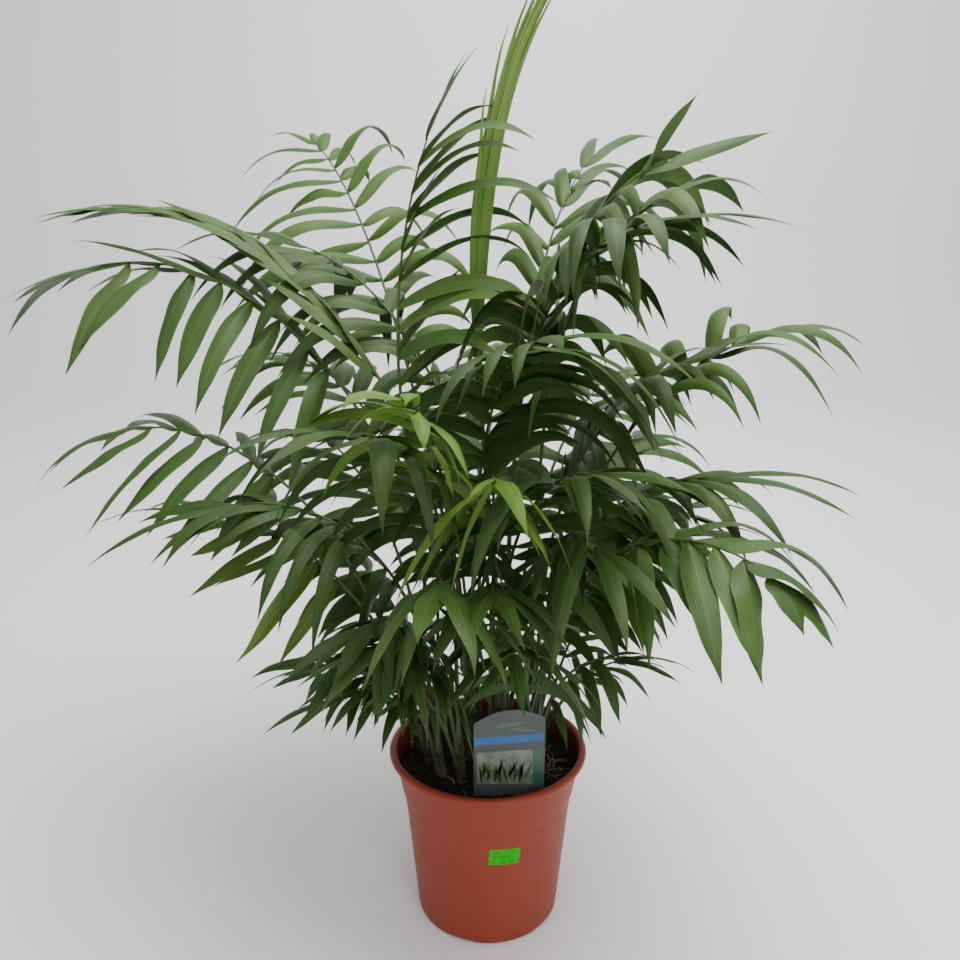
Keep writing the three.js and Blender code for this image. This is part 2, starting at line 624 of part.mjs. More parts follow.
// Ways for a leaflet to pass what is in its way: more or less droop, more or less lift.
const DETOURS = [
  { droop: 1, lift: 0 },
  { droop: 0.75, lift: 6 },
  { droop: 1.3, lift: -6 },
  { droop: 0.5, lift: 14 },
  { droop: 1.7, lift: -12 },
  { droop: 0.9, lift: 24 },
];

/** The rings of a leaflet along the first detour that is free, or nothing where none is. */
function placeLeaflet(leaf, frondName) {
  const most = radians(LEAFLET.mostLift);
  for (const detour of DETOURS) {
    const lift = THREE.MathUtils.clamp(leaf.lift + radians(detour.lift), -most, most);
    const tried = { ...leaf, droop: leaf.droop * detour.droop, lift };
    const path = leafletPath(tried);
    const guard = loft(leafletRings(path, tried, CLEARANCE));
    const free = isFree(guard, frondName);
    guard.delete();
    if (free) {
      stand(loft([[path[0].point], ...leafletRings(path, tried, 0)]), null);
      return leafletRings(path, tried, 0);
    }
  }
  return null;
}

// ---- fronds --------------------------------------------------------------------------------------

/** Where a frond's stalk starts: on the side of its cane, just clear of it. */
function stalkFoot(frond) {
  const cane = CANES[frond.cane];
  const axis = caneAxis(cane);
  const outward = level(frond.foot ?? frond.heading);
  outward.addScaledVector(axis, -outward.dot(axis)).normalize();
  const reach = caneRadius(cane, frond.at) + CLEARANCE + RIB.stalkRadius / 2;
  return along(canePoint(cane, frond.at), outward, reach);
}

const halfRoot = (frond) => LEAFLET.rootLength / 2 / frond.length;

const stalkPlaces = ({ bare }) =>
  Array.from({ length: RIB.stalkSteps }, (_, step) => (bare * step) / RIB.stalkSteps);

/** The stalk and rib alone. */
function makeBareRib(path, frond) {
  const roots = pairPlaces(frond).flatMap((share) => [share - halfRoot(frond), share + halfRoot(frond)]);
  return loft([...stalkPlaces(frond), ...roots].map((share) => ribRing(path, share)));
}

/** A frond's solid: one skin over the stalk, the rib and every leaflet that finds its way. */
function makeFrond(path, frond, seed, name) {
  const skin = new Skin();
  const stalk = stalkPlaces(frond).map((share) => skin.ring(ribRing(path, share)));
  skin.capStart(stalk[0]);
  skin.bands(stalk);
  let last = stalk[stalk.length - 1];
  const blades = leafletsOf(path, frond, seed).map((leaf) => placeLeaflet(leaf, name));
  pairPlaces(frond).forEach((share, pair) => {
    const before = skin.ring(ribRing(path, share - halfRoot(frond)));
    const after = skin.ring(ribRing(path, share + halfRoot(frond)));
    const left = blades[2 * pair];
    const right = blades[2 * pair + 1];
    const isRoot = (side, half) => (left && side === 0 && half === 0) || (right && side === 2 && half === 1);
    skin.band(last, before);
    skin.band(before, after, isRoot);
    if (left) skin.bands([[after[1], before[0], before[1]], ...left.map((ring) => skin.ring(ring))]);
    if (right) skin.bands([[before[2], after[0], after[2]], ...right.map((ring) => skin.ring(ring))]);
    last = after;
  });
  skin.capEnd(last);
  return skin.solid();
}

/** The folded leaf: a stalk that passes into strips of leaflets still lying side by side. */
function makeSpear(path) {
  const { bladeFrom, strips, bladeWidth, stripWidth, stripDepth, firstTip, splay } = SPEAR;
  const stalkEnd = bladeFrom + 0.1;
  let spear = loft([0, bladeFrom / 2, bladeFrom, stalkEnd].map((share) => ribRing(path, share)));
  for (let strip = 0; strip < strips; strip++) {
    const place = strip / (strips - 1);
    const tipShare = firstTip + (1 - firstTip) * place;
    const offset = (0.5 - place) * (bladeWidth - stripWidth);
    const ringAt = (part, spreading, girth) => {
      const { point, normal } = onPath(path, bladeFrom + (tipShare - bladeFrom) * part);
      const centre = along(point, normal, offset * spreading);
      const half = (stripWidth / 2) * girth;
      const thick = (stripDepth / 2) * girth;
      return [
        along(centre, normal, -half),
        along(centre, path.side, thick),
        along(centre, normal, half),
        along(centre, path.side, -thick),
      ];
    };
    const tip = onPath(path, tipShare);
    spear = spear.add(loft([
      ringAt(0, 0.1, 0.35),
      ringAt(0.35, 0.8, 0.9),
      ringAt(0.7, 1, 0.9),
      [along(tip.point, tip.normal, offset * splay)],
    ]));
  }
  return spear;
}

// ---- seedlings -----------------------------------------------------------------------------------

/** A seedling's fronds, fanned round its heading. */
function tuftFronds({ x, y, heading, fronds, length }) {
  return Array.from({ length: fronds }, (_, k) => ({
    ...TUFT,
    heading: heading + (k - (fronds - 1) / 2) * TUFT.fan,
    length: length * within(TUFT.lengthDraw, draw(x + k)),
    rise: TUFT.rise + TUFT.riseRange * draw(y + k),
  }));
}

function makeTuftCrown({ x, y }, margin) {
  const side = new THREE.Vector3(1, 0, 0);
  const normal = new THREE.Vector3(0, 1, 0);
  const foot = new THREE.Vector3(x, y, COMPOST.top - CANE.sunk - margin);
  const top = new THREE.Vector3(x, y, COMPOST.top + TUFT.crownHeight);
  const radius = TUFT.crownRadius + margin;
  const topRadius = radius * TUFT.crownTaper;
  return loft([
    roundRing(foot, side, normal, radius, CANE.sides),
    roundRing(top, side, normal, topRadius, CANE.sides),
  ]);
}

function makeSeedling(name, seedling) {
  const inCrown = new THREE.Vector3(seedling.x, seedling.y, COMPOST.top + TUFT.crownHeight - TUFT.sunk);
  return tuftFronds(seedling).reduce((solid, frond, index) => {
    const seed = FIRST_SEEDLING_SEED + FROND_SEEDS * index + seedling.x;
    return solid.add(makeFrond(ribPath(inCrown, frond), frond, seed, name));
  }, makeTuftCrown(seedling, 0));
}

// ---- assembly ------------------------------------------------------------------------------------

const COLOURS = {
  pot: 0xa9502f,
  compost: 0x2a1d18,
  label: 0xb9bcc0,
  cane: 0x6d6b45,
  leaf: 0x3f6b3c,
  youngLeaf: 0x6f9e35,
  spear: 0x8db53c,
};

const palm = new THREE.Group();

const pot = makePot();
stand(pot, null);
palm.add(meshOf("pot", pot, COLOURS.pot, 0.55));

const label = makeLabel(0);
stand(label, null);
palm.add(meshOf("label", label, COLOURS.label, 0.35));

let compost = makeCompost().subtract(makeLabel(CLEARANCE));
for (const [name, cane] of Object.entries(CANES)) {
  const solid = makeCane(cane, 0);
  stand(solid, null);
  compost = compost.subtract(makeCane(cane, CLEARANCE));
  palm.add(meshOf(`cane_${name}`, solid, COLOURS.cane, 0.7));
}
for (const seedling of Object.values(SEEDLINGS)) {
  compost = compost.subtract(makeTuftCrown(seedling, CLEARANCE));
}
stand(compost, null);
palm.add(meshOf("compost", compost, COLOURS.compost, 0.95));

const spear = makeSpear(ribPath(stalkFoot(SPEAR), SPEAR));
stand(spear, null);
palm.add(meshOf("spear", spear, COLOURS.spear, 0.45));

// Every stalk and rib stands before the first leaflet is placed.
const stalks = Object.entries(FRONDS).map(([name, frond]) => {
  const path = ribPath(stalkFoot(frond), frond);
  stand(makeBareRib(path, frond), name);
  return { name, frond, path };
});
for (const [name, seedling] of Object.entries(SEEDLINGS)) {
  stand(makeTuftCrown(seedling, 0), name);
}
stalks.forEach(({ name, frond, path }, index) => {
  const colour = name.startsWith("young") ? COLOURS.youngLeaf : COLOURS.leaf;
  palm.add(meshOf(`frond_${name}`, makeFrond(path, frond, FROND_SEEDS * index, name), colour, 0.5));
});
for (const [name, seedling] of Object.entries(SEEDLINGS)) {
  palm.add(meshOf(`seedling_${name}`, makeSeedling(name, seedling), COLOURS.leaf, 0.5));
}

export default palm;
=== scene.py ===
import math

import bpy
import numpy as np
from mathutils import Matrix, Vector


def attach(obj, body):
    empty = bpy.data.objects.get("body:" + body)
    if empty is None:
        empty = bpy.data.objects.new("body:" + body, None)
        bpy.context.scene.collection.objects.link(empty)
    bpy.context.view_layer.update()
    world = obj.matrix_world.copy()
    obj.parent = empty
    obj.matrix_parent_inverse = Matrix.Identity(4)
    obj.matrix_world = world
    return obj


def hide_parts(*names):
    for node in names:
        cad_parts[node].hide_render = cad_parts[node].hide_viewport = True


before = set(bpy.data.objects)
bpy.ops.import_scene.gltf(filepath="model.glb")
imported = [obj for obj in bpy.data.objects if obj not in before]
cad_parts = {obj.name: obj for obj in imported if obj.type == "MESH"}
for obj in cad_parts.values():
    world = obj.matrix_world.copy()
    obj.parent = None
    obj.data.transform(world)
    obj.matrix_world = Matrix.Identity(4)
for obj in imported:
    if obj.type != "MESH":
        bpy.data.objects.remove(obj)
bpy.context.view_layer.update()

# The looks of a parlour palm in its nursery pot. Sizes are in millimetres and become metres where a
# mesh is made. The origin is the centre of the pot's underside; a heading is in degrees,
# anticlockwise from above, 0 to the right, 90 to the back, -90 to the front.

MM = 0.001


def table(keys, rows):
    """Rows of values, by name, as dicts with the given keys."""
    return {name: dict(zip(keys.split(), row)) for name, row in rows.items()}


# ---- camera, floor and light ----

CAMERA = {"place": (-6.8, -742.0, 615.0), "pitch": 16.35, "lens": 36.1, "sensor": 36.0,
          "farthest": 20.0}
FLOOR = {"front": -3600.0, "back": 2300.0, "half_width": 4200.0, "bend": 600.0, "height": 2600.0,
         "colour": (0.88, 0.88, 0.885)}
WORLD = {"colour": (0.99, 0.995, 1.0), "strength": 0.62}
LIGHTS = table("place aim size power colour", {
    "overhead": ((300, -50, 1900), (0, 60, 350), 1400, 37.0, (1.0, 0.985, 0.96)),
    "front": ((500, -1700, 1200), (0, 0, 250), 1200, 15.5, (1.0, 0.98, 0.96)),
    "back": ((300, 500, 1800), (0, 1000, 500), 1300, 14.0, (1.0, 0.99, 0.98)),
    "wall": ((400, 1500, 1900), (200, 2900, 900), 1500, 26.0, (1.0, 0.99, 0.99)),
})

# ---- sizes of the plant ----

CLEARANCE = 0.3
POT = {"rim": 85.5, "height": 158.0, "lip": 7.0, "collar": 39.0, "ledge": 73.0, "step": 1.5,
       "overhang": 6.5, "foot": 62.0, "wall": 1.9, "floor": 3.0, "notches": 5, "notch_width": 22.0,
       "notch_height": 2.6, "notch_depth": 9.0, "first_notch": -112.0, "sides": 240}
COMPOST = {"top": 140.0, "sides": 300, "crumbs": 900, "crumb": 0.5, "crumb_range": 1.5}
ROOTS = {"count": 46, "at_right": 26, "points": 16, "arch": 3.0, "wander": 60, "radius": 0.22,
         "radius_range": 0.25}
LABEL = {"width": 58.0, "thickness": 0.8, "middle": 17.0, "depth": -52.0, "left": 207.0,
         "right": 213.0, "crown": 220.0, "foot": 139.0, "stake": 14.0, "stake_foot": 118.0}
STICKER = {"heading": -79.0, "height": 94.5, "width": 26.0, "tall": 15.5, "tilt": -3.0, "lift": 0.12}
CANE = {"sunk": 12.0, "swell": 1.12, "taper": 0.42, "node_step": 13.0, "node": 0.07, "dip": 0.05,
        "wander": 0.35, "rough": 0.035}
RIB = {"foot": 1.8, "thinnest": 0.62, "steps": 40}
LEAFLET = {"root": 3.6, "lift_range": 32.0, "bend_power": 1.8, "spread_range": 18.0,
           "loose_spread": 60.0, "roll_range": 48.0, "shift": 0.25, "least_size": 0.66,
           "end": dict(spread=14.0, lift=8.0, droop=0.8, size=1.2)}
BLADE = {"rows": 23, "thickness": 0.5, "rib": 0.55, "groove": 0.12, "arch": 0.16, "wave": 0.07,
         "waves": 2.3, "curl": 0.5, "sweep": 0.22, "tip": 0.06}

CANES = table("x y height lean heading radius", {
    "west": (-52, -4, 36, 10, 185, 3.5),
    "front_west": (-38, -24, 32, 8, 205, 3.5),
    "back_west": (-44, 34, 40, 8, 145, 3.5),
    "inner_west": (-34, 12, 62, 5, 155, 4.5),
    "front": (-22, -30, 46, 4, 235, 4),
    "middle_left": (-14, 4, 112, 3, 120, 5),
    "middle_front": (4, -14, 84, 3, 270, 4.5),
    "middle_back": (10, 18, 130, 2, 70, 5.5),
    "east": (26, -6, 92, 4, 5, 4.5),
    "back_east": (38, 20, 66, 6, 35, 4.5),
    "front_east": (34, -26, 44, 5, 320, 4),
    "back": (-10, 40, 76, 4, 100, 4.5),
    "far_back": (16, 48, 48, 6, 75, 4),
})

# What a frond's values mean. Its rib leaves the stalk's foot at `rise` degrees and ends at `tip`,
# and turns later the higher `bend` is. After the `bare` share of its length come `pairs` of
# leaflets, up to `leaflet` long and `width` wide to each side. `spread` is their angle to the rib,
# first and last; `lift` raises them out of the frond's plane, `droop` lets them hang, `roll` turns
# them about their length and `loose` makes their length and spread uneven. `right` has what is
# different on the right-hand side, `end` the last pair's own values, and `foot` is the side of the
# cane that the stalk springs from.
OUTER = dict(rise=82, tip=4, bend=1.8, bare=0.6, pairs=7, leaflet=112, width=15, droop=1.6,
             spread=(66, 34), lift=12, loose=0.5, tone="deep")
INNER = dict(rise=82, tip=8, bend=1.9, bare=0.48, pairs=13, leaflet=108, width=14, droop=2.1,
             spread=(66, 34), lift=-26, loose=0.6, tone="shade")
BACK = dict(rise=79, tip=-6, bend=1.8, bare=0.5, pairs=10, leaflet=106, width=15.5, droop=1.8,
            spread=(70, 36), lift=-14, loose=0.5, tone="deep")
SKIRT = dict(rise=79, tip=2, bend=2, bare=0.38, pairs=13, leaflet=82, width=12, droop=1.8,
             spread=(74, 42), lift=-40, loose=0.3, tone="low")
TUFT = dict(tip=-8, bend=1.4, bare=0.5, pairs=5, leaflet=52, width=8, droop=1.9, spread=(66, 34),
            loose=0.3, lift=-10, tone="deep", crown_height=14.0, sunk=5.0, fan=42.0, rise=60.0,
            rise_range=16.0)


def frond(kind, cane, at, heading, length, **own):
    """A frond of a kind, on a cane at a share of its height, with the values that are its own."""
    return {**kind, "cane": cane, "at": at, "heading": heading, "length": length, **own}


FRONDS = {
    "left_high": frond(
        OUTER, "middle_left", 0.75, 158, 550, foot=140, rise=84, tip=-2, bend=1.55, bare=0.47,
        pairs=11, width=14, droop=0.5, spread=(14, 8), lift=-26, loose=0.2,
        right=dict(spread=(12, 8), lift=-34), end=dict(spread=5, droop=0.3), tone="mid"),
    "left_upper": frond(
        OUTER, "inner_west", 0.9, 162, 545, rise=86, tip=-12, bend=1.65, bare=0.54, pairs=9,
        leaflet=108, width=18, droop=1.5, spread=(104, 78), lift=-58, loose=0.75,
        right=dict(leaflet=158, width=14, spread=(14, 8), lift=-30, droop=0.6, loose=0.2),
        end=dict(size=1.3)),
    "left_middle": frond(
        OUTER, "west", 0.9, 166, 400, rise=76, tip=-12, bare=0.57, pairs=8, leaflet=110, width=16,
        droop=0.9, spread=(95, 46), lift=-62, loose=0.25,
        right=dict(spread=(60, 20), lift=-20, droop=1), end=dict(spread=8, lift=-10, droop=1.3)),
    "left_lower": frond(
        OUTER, "front_west", 0.6, 156, 305, rise=76, tip=2, bend=1.2, bare=0.56, leaflet=98,
        width=14, droop=0.45, spread=(88, 45), lift=-45, right=dict(lift=-20), tone="yellowing"),
    "top_left": frond(
        OUTER, "middle_left", 0.97, 114, 625, foot=84, rise=60, tip=16, bare=0.43, pairs=14,
        leaflet=122, width=14, droop=1.9, spread=(72, 60), lift=-24,
        right=dict(leaflet=96, spread=(70, 45), lift=25, droop=2), tone="mid"),
    "top_middle": frond(
        OUTER, "middle_left", 0.9, 178, 425, foot=200, rise=73, tip=110, bend=1.7, bare=0.44,
        pairs=12, leaflet=108, width=13, droop=1.3, spread=(58, 26), lift=50,
        end=dict(spread=10, lift=30, droop=0.5, size=0.75), tone="mid"),
    "top_right": frond(
        OUTER, "middle_back", 0.8, 12, 420, foot=20, rise=89, tip=32, bend=3, bare=0.52, pairs=9,
        leaflet=158, width=14, droop=2.4, spread=(26, 16), lift=-24,
        end=dict(spread=22, lift=70, droop=0.2, size=0.62, roll=85), roll=50, loose=0.2,
        right=dict(leaflet=100, width=12, spread=(78, 64), lift=8, droop=2.8, roll=0,
                   end=dict(spread=16, lift=-60, droop=0.3, roll=-60)),
        tone="mid"),
    "right_high": frond(
        OUTER, "east", 0.95, 6, 420, rise=89, tip=24, bend=4, leaflet=138, width=14, droop=2.5,
        spread=(30, 18), lift=-22, roll=30,
        right=dict(leaflet=106, width=15, spread=(74, 56), lift=4, droop=2.7, roll=0),
        end=dict(droop=1.8, size=0.8), tone="mid"),
    "right_middle": frond(
        OUTER, "back_east", 0.95, 4, 380, rise=84, tip=16, bare=0.58, leaflet=84, width=18,
        droop=2.4, spread=(75, 50), lift=35,
        right=dict(leaflet=134, width=13, spread=(44, 26), lift=6, droop=2.3, loose=0.3),
        end=dict(droop=1.8, size=0.85), tone="mid"),
    "right_front": frond(
        OUTER, "front_east", 0.95, -45, 335, rise=85, tip=-26, bend=1.75, bare=0.54, pairs=8,
        leaflet=100, width=20, droop=2, spread=(42, 30), lift=4,
        right=dict(leaflet=86, spread=(64, 34), lift=-62, droop=1.2),
        end=dict(size=0.7, droop=1.5)),
    "left_skirt": frond(
        SKIRT, "front_west", 0.3, 188, 150, foot=212, rise=84, bend=1.4, pairs=6, leaflet=66,
        width=10, droop=1.2, spread=(70, 40), lift=-20),
    "front_left_skirt": frond(SKIRT, "front", 0.4, 229, 158, rise=72, pairs=6, leaflet=52, width=8),
    "young_left": frond(
        OUTER, "front", 0.95, -102, 350, rise=86, tip=22, bend=2.6, bare=0.7, leaflet=70, width=12,
        droop=2, spread=(80, 50), lift=-55, right=dict(leaflet=88, spread=(70, 50), lift=-15),
        tone="young"),
    "young_middle": frond(
        OUTER, "middle_front", 0.95, -91, 272, rise=84, tip=8, bend=2.3, bare=0.66, pairs=6,
        leaflet=86, width=13, droop=1.8, spread=(80, 45), lift=-52, right=dict(lift=-62),
        tone="young"),
    "front_left": frond(
        OUTER, "front_west", 0.9, -86, 255, rise=86, tip=0, bend=2.2, bare=0.52, pairs=8,
        leaflet=98, width=14, droop=1.8, spread=(72, 36), lift=-60, tone="mid"),
    "front_middle": frond(
        OUTER, "east", 0.65, -70, 252, rise=86, tip=-10, bend=2.2, bare=0.5, pairs=8, leaflet=96,
        width=14, droop=1.8, spread=(72, 36), lift=-58),
    "right_skirt": frond(
        SKIRT, "front_east", 0.55, -24, 132, foot=0, rise=82, tip=8, leaflet=60, width=10,
        pairs=6),
    "inner_1": frond(INNER, "inner_west", 0.6, 190, 285, tip=-4, bare=0.45, pairs=11),
    "inner_2": frond(
        INNER, "back_east", 0.85, 5, 330, foot=-100, rise=88, tip=22, bend=2.4, leaflet=112,
        spread=(40, 24), lift=-20, droop=2.3, loose=0.3,
        right=dict(leaflet=100, spread=(76, 56), lift=0, droop=2.5)),
    "inner_3": frond(
        INNER, "middle_left", 0.82, -70, 345, rise=86, tip=12, bend=2.6, leaflet=118,
        spread=(46, 26), lift=-30, droop=2.4, right=dict(leaflet=96, spread=(70, 40), lift=-10)),
    "inner_4": frond(
        INNER, "middle_front", 0.8, -62, 285, foot=-45, rise=88, tip=12, bare=0.38, droop=2.3),
    "inner_5": frond(INNER, "middle_left", 0.58, 238, 312, rise=88, tip=14, bare=0.38, droop=2.3),
    "inner_6": frond(INNER, "east", 0.8, -22, 262),
    "inner_7": frond(INNER, "middle_back", 0.72, 149, 420, rise=84, tip=14, leaflet=112, droop=2.4),
    "inner_8": frond(
        INNER, "middle_back", 0.86, -40, 400, foot=-50, rise=88, tip=6, bend=3.4, leaflet=106,
        spread=(44, 24), lift=-20, droop=2.6, loose=0.25,
        right=dict(leaflet=104, spread=(64, 40), lift=0)),
    "back_1": frond(BACK, "back", 0.95, 138, 400, rise=70),
    "back_2": frond(BACK, "back", 0.78, 82, 390),
    "back_3": frond(BACK, "far_back", 0.95, 56, 380),
    "back_4": frond(BACK, "far_back", 0.75, 106, 330),
    "back_5": frond(BACK, "back_west", 0.95, 130, 320, rise=76),
    "back_6": frond(BACK, "back_east", 0.7, 56, 300),
    "back_7": frond(
        BACK, "middle_back", 0.45, 64, 500, rise=86, tip=24, bend=2.6, bare=0.6, leaflet=116,
        width=13, spread=(50, 26), droop=2.4),
    "skirt_1": frond(SKIRT, "back", 0.5, 108, 280, rise=76, leaflet=92),
    "skirt_2": frond(SKIRT, "back_east", 0.45, 22, 250, rise=76),
    "skirt_3": frond(SKIRT, "far_back", 0.5, 40, 240, rise=72),
    "skirt_4": frond(SKIRT, "back_west", 0.7, 151, 205, rise=74),
    "skirt_5": frond(SKIRT, "middle_front", 0.55, -90, 225, foot=-115, rise=84),
    "skirt_6": frond(SKIRT, "east", 0.45, 6, 228),
    "skirt_7": frond(SKIRT, "inner_west", 0.4, 244, 200),
    "skirt_8": frond(SKIRT, "front_east", 0.5, -100, 205, pairs=6),
    "skirt_9": frond(SKIRT, "front", 0.7, -127, 175, rise=80),
}
SPEAR = frond({}, "middle_back", 1, 8, 540, foot=235, rise=95, tip=50, bend=3)
SEEDLINGS = table("x y heading fronds length", {
    "left": (-61, 16, 178, 3, 112),
    "right": (52, 34, 64, 3, 122),
})

# ---- small helpers ----

UP = np.array([0.0, 0.0, 1.0])
TO_THE_RIGHT = np.array([1.0, 0.0, 0.0])


def draw(seed):
    """A repeatable draw from 0 to 1, for a number or an array."""
    x = np.sin(np.asarray(seed, float) * 12.9898 + 4.1414) * 43758.5453
    return x - np.floor(x)


def smooth(low, high, x):
    t = np.clip((np.asarray(x, float) - low) / (high - low), 0, 1)
    return t * t * (3 - 2 * t)


def level(heading):
    a = math.radians(heading)
    return np.array([math.cos(a), math.sin(a), 0.0])


def unit(v):
    return v / np.maximum(np.linalg.norm(v, axis=-1, keepdims=True), 1e-12)


def square_to(axis, v):
    """The unit vector nearest to v that is square to the unit vector axis."""
    return unit(v - (v * axis).sum(-1, keepdims=True) * axis)


def full_turn(sides):
    return 2 * np.pi * np.arange(sides) / sides


def turned(radius, angle, height):
    """Points at a radius, an angle and a height round the pot's axis; arrays broadcast."""
    return np.stack(np.broadcast_arrays(radius * np.cos(angle), radius * np.sin(angle), height), -1)


def lattice_noise(points, cell, seed):
    """Smooth noise from -1 to 1 at points in space, on a grid of `cell` millimetres."""
    q = np.asarray(points, float) / cell
    base = np.floor(q)
    f = q - base
    f = f * f * (3 - 2 * f)
    total = 0
    for corner in range(8):
        bits = np.array([corner & 1, (corner >> 1) & 1, (corner >> 2) & 1])
        at = base + bits
        value = draw(at[..., 0] * 17.13 + at[..., 1] * 57.71 + at[..., 2] * 113.37 + seed)
        total = total + np.prod(np.where(bits, f, 1 - f), axis=-1) * value
    return 2 * total - 1


def add_object(name, data):
    made = bpy.data.objects.new(name, data)
    bpy.context.scene.collection.objects.link(made)
    return made


def quads_between(a, b):
    """Quads that join two rows of point numbers, and the last of each row to its first."""
    return np.stack([a, np.roll(a, -1, -1), np.roll(b, -1, -1), b], -1)


class Shape:
    """A mesh under construction: points, quads, triangles, UVs and sharp point pairs."""

    def __init__(self):
        self.points, self.quads, self.tris, self.uvs, self.rims = [], [], [], [], []
        self.count = 0

    def add(self, points, uv=(0.0, 0.0)):
        """Adds a grid of points and returns their numbers, in the same grid."""
        points = np.asarray(points, float)
        grid = points.shape[:-1]
        self.points.append(points.reshape(-1, 3))
        self.uvs.append(np.broadcast_to(uv, (*grid, 2)).reshape(-1, 2))
        numbers = self.count + np.arange(math.prod(grid)).reshape(grid)
        self.count += numbers.size
        return numbers

    def cap(self, loops, poles, turn):
        """Closes each loop of point numbers with triangles to its pole; turn is 1 or -1."""
        poles = np.broadcast_to(poles[..., None], loops.shape)
        faces = np.stack([*(np.roll(loops, -1, -1), loops)[::turn], poles], -1)
        self.tris.append(faces.reshape(-1, 3))

    def tubes(self, rings, uv=(0.0, 0.0), rims=()):
        """Adds closed tubes: rings is (tubes, rows, sides, 3). Each end closes on its middle."""
        rings = np.asarray(rings, float)
        if rings.ndim == 3:
            rings = rings[None]
        numbers = self.add(rings, uv)
        a, b = numbers[:, :-1], numbers[:, 1:]
        self.quads.append(quads_between(a, b).reshape(-1, 4))
        for side in rims:
            self.rims.append(np.stack([a[..., side], b[..., side]], -1).reshape(-1, 2))
        for row, along, turn in ((0, 0, 1), (-1, 1, -1)):
            self.cap(numbers[:, row], self.add(rings[:, row].mean(1), (0.5, along)), turn)

    def sheet(self, points, closed=False):
        """Adds a grid of points (rows, columns, 3); closed joins the last column to the first."""
        numbers = self.add(points)
        quads = quads_between(numbers[:-1], numbers[1:])
        self.quads.append((quads if closed else quads[:, :-1]).reshape(-1, 4))

    def prism(self, outline, low, high, place):
        """Adds a prism of a flat outline round its middle; place(x, y, depth) gives a point."""
        outline = [*outline, np.mean(outline, 0)]
        a, b = (self.add([place(x, y, depth) for x, y in outline]) for depth in (low, high))
        self.quads.append(quads_between(a[:-1], b[:-1]))
        self.cap(a[:-1], a[-1], 1)
        self.cap(b[:-1], b[-1], -1)

    def piece(self, name, material, is_smooth=True):
        """Makes the object, in metres, riding on the only body."""
        points = np.concatenate(self.points) * MM
        quads = np.concatenate([np.zeros((0, 4), int), *self.quads])
        tris = np.concatenate([np.zeros((0, 3), int), *self.tris])
        volume = 0.0
        for faces in (tris, quads[:, :3], quads[:, [0, 2, 3]]):
            a, b, c = (points[faces[:, corner]] for corner in range(3))
            volume += np.einsum("ij,ij->i", a, np.cross(b, c)).sum()
        if volume < 0:
            quads, tris = quads[:, ::-1], tris[:, ::-1]
        loops = np.concatenate([quads.ravel(), tris.ravel()])
        starts = np.concatenate([4 * np.arange(len(quads)), quads.size + 3 * np.arange(len(tris))])
        mesh = bpy.data.meshes.new(name)
        mesh.vertices.add(len(points))
        mesh.vertices.foreach_set("co", points.ravel())
        mesh.loops.add(len(loops))
        mesh.loops.foreach_set("vertex_index", loops.astype(np.int32))
        mesh.polygons.add(len(starts))
        mesh.polygons.foreach_set("loop_start", starts.astype(np.int32))
        mesh.update(calc_edges=True)
        layer = mesh.uv_layers.new(name="surface")
        layer.data.foreach_set("uv", np.concatenate(self.uvs)[loops].ravel())
        mesh.polygons.foreach_set("use_smooth", np.full(len(starts), is_smooth))
        if self.rims:
            edges = np.zeros(2 * len(mesh.edges), np.int32)
            mesh.edges.foreach_get("vertices", edges)
            rims, edges = (np.sort(pairs.reshape(-1, 2).astype(np.int64), 1) @ (len(points), 1)
                           for pairs in (np.concatenate(self.rims), edges))
            mesh.edges.foreach_set("use_edge_sharp", np.isin(edges, rims))
        mesh.validate()
        mesh.materials.append(material)
        made = add_object(name, mesh)
        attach(made, "root")
        return made


def tube_rings(points, first, radii, sides):
    """Round rings along a line of points; each starts on the side that the vector first shows."""
    points = np.asarray(points, float)
    forward = unit(np.gradient(points, axis=0))
    side = square_to(forward, first)
    normal = np.cross(forward, side)
    turn = full_turn(sides)[None, :, None]
    radii = np.broadcast_to(radii, (len(points),))[:, None, None]
    return points[:, None] + radii * (np.cos(turn) * side[:, None] + np.sin(turn) * normal[:, None])


# ---- materials ----


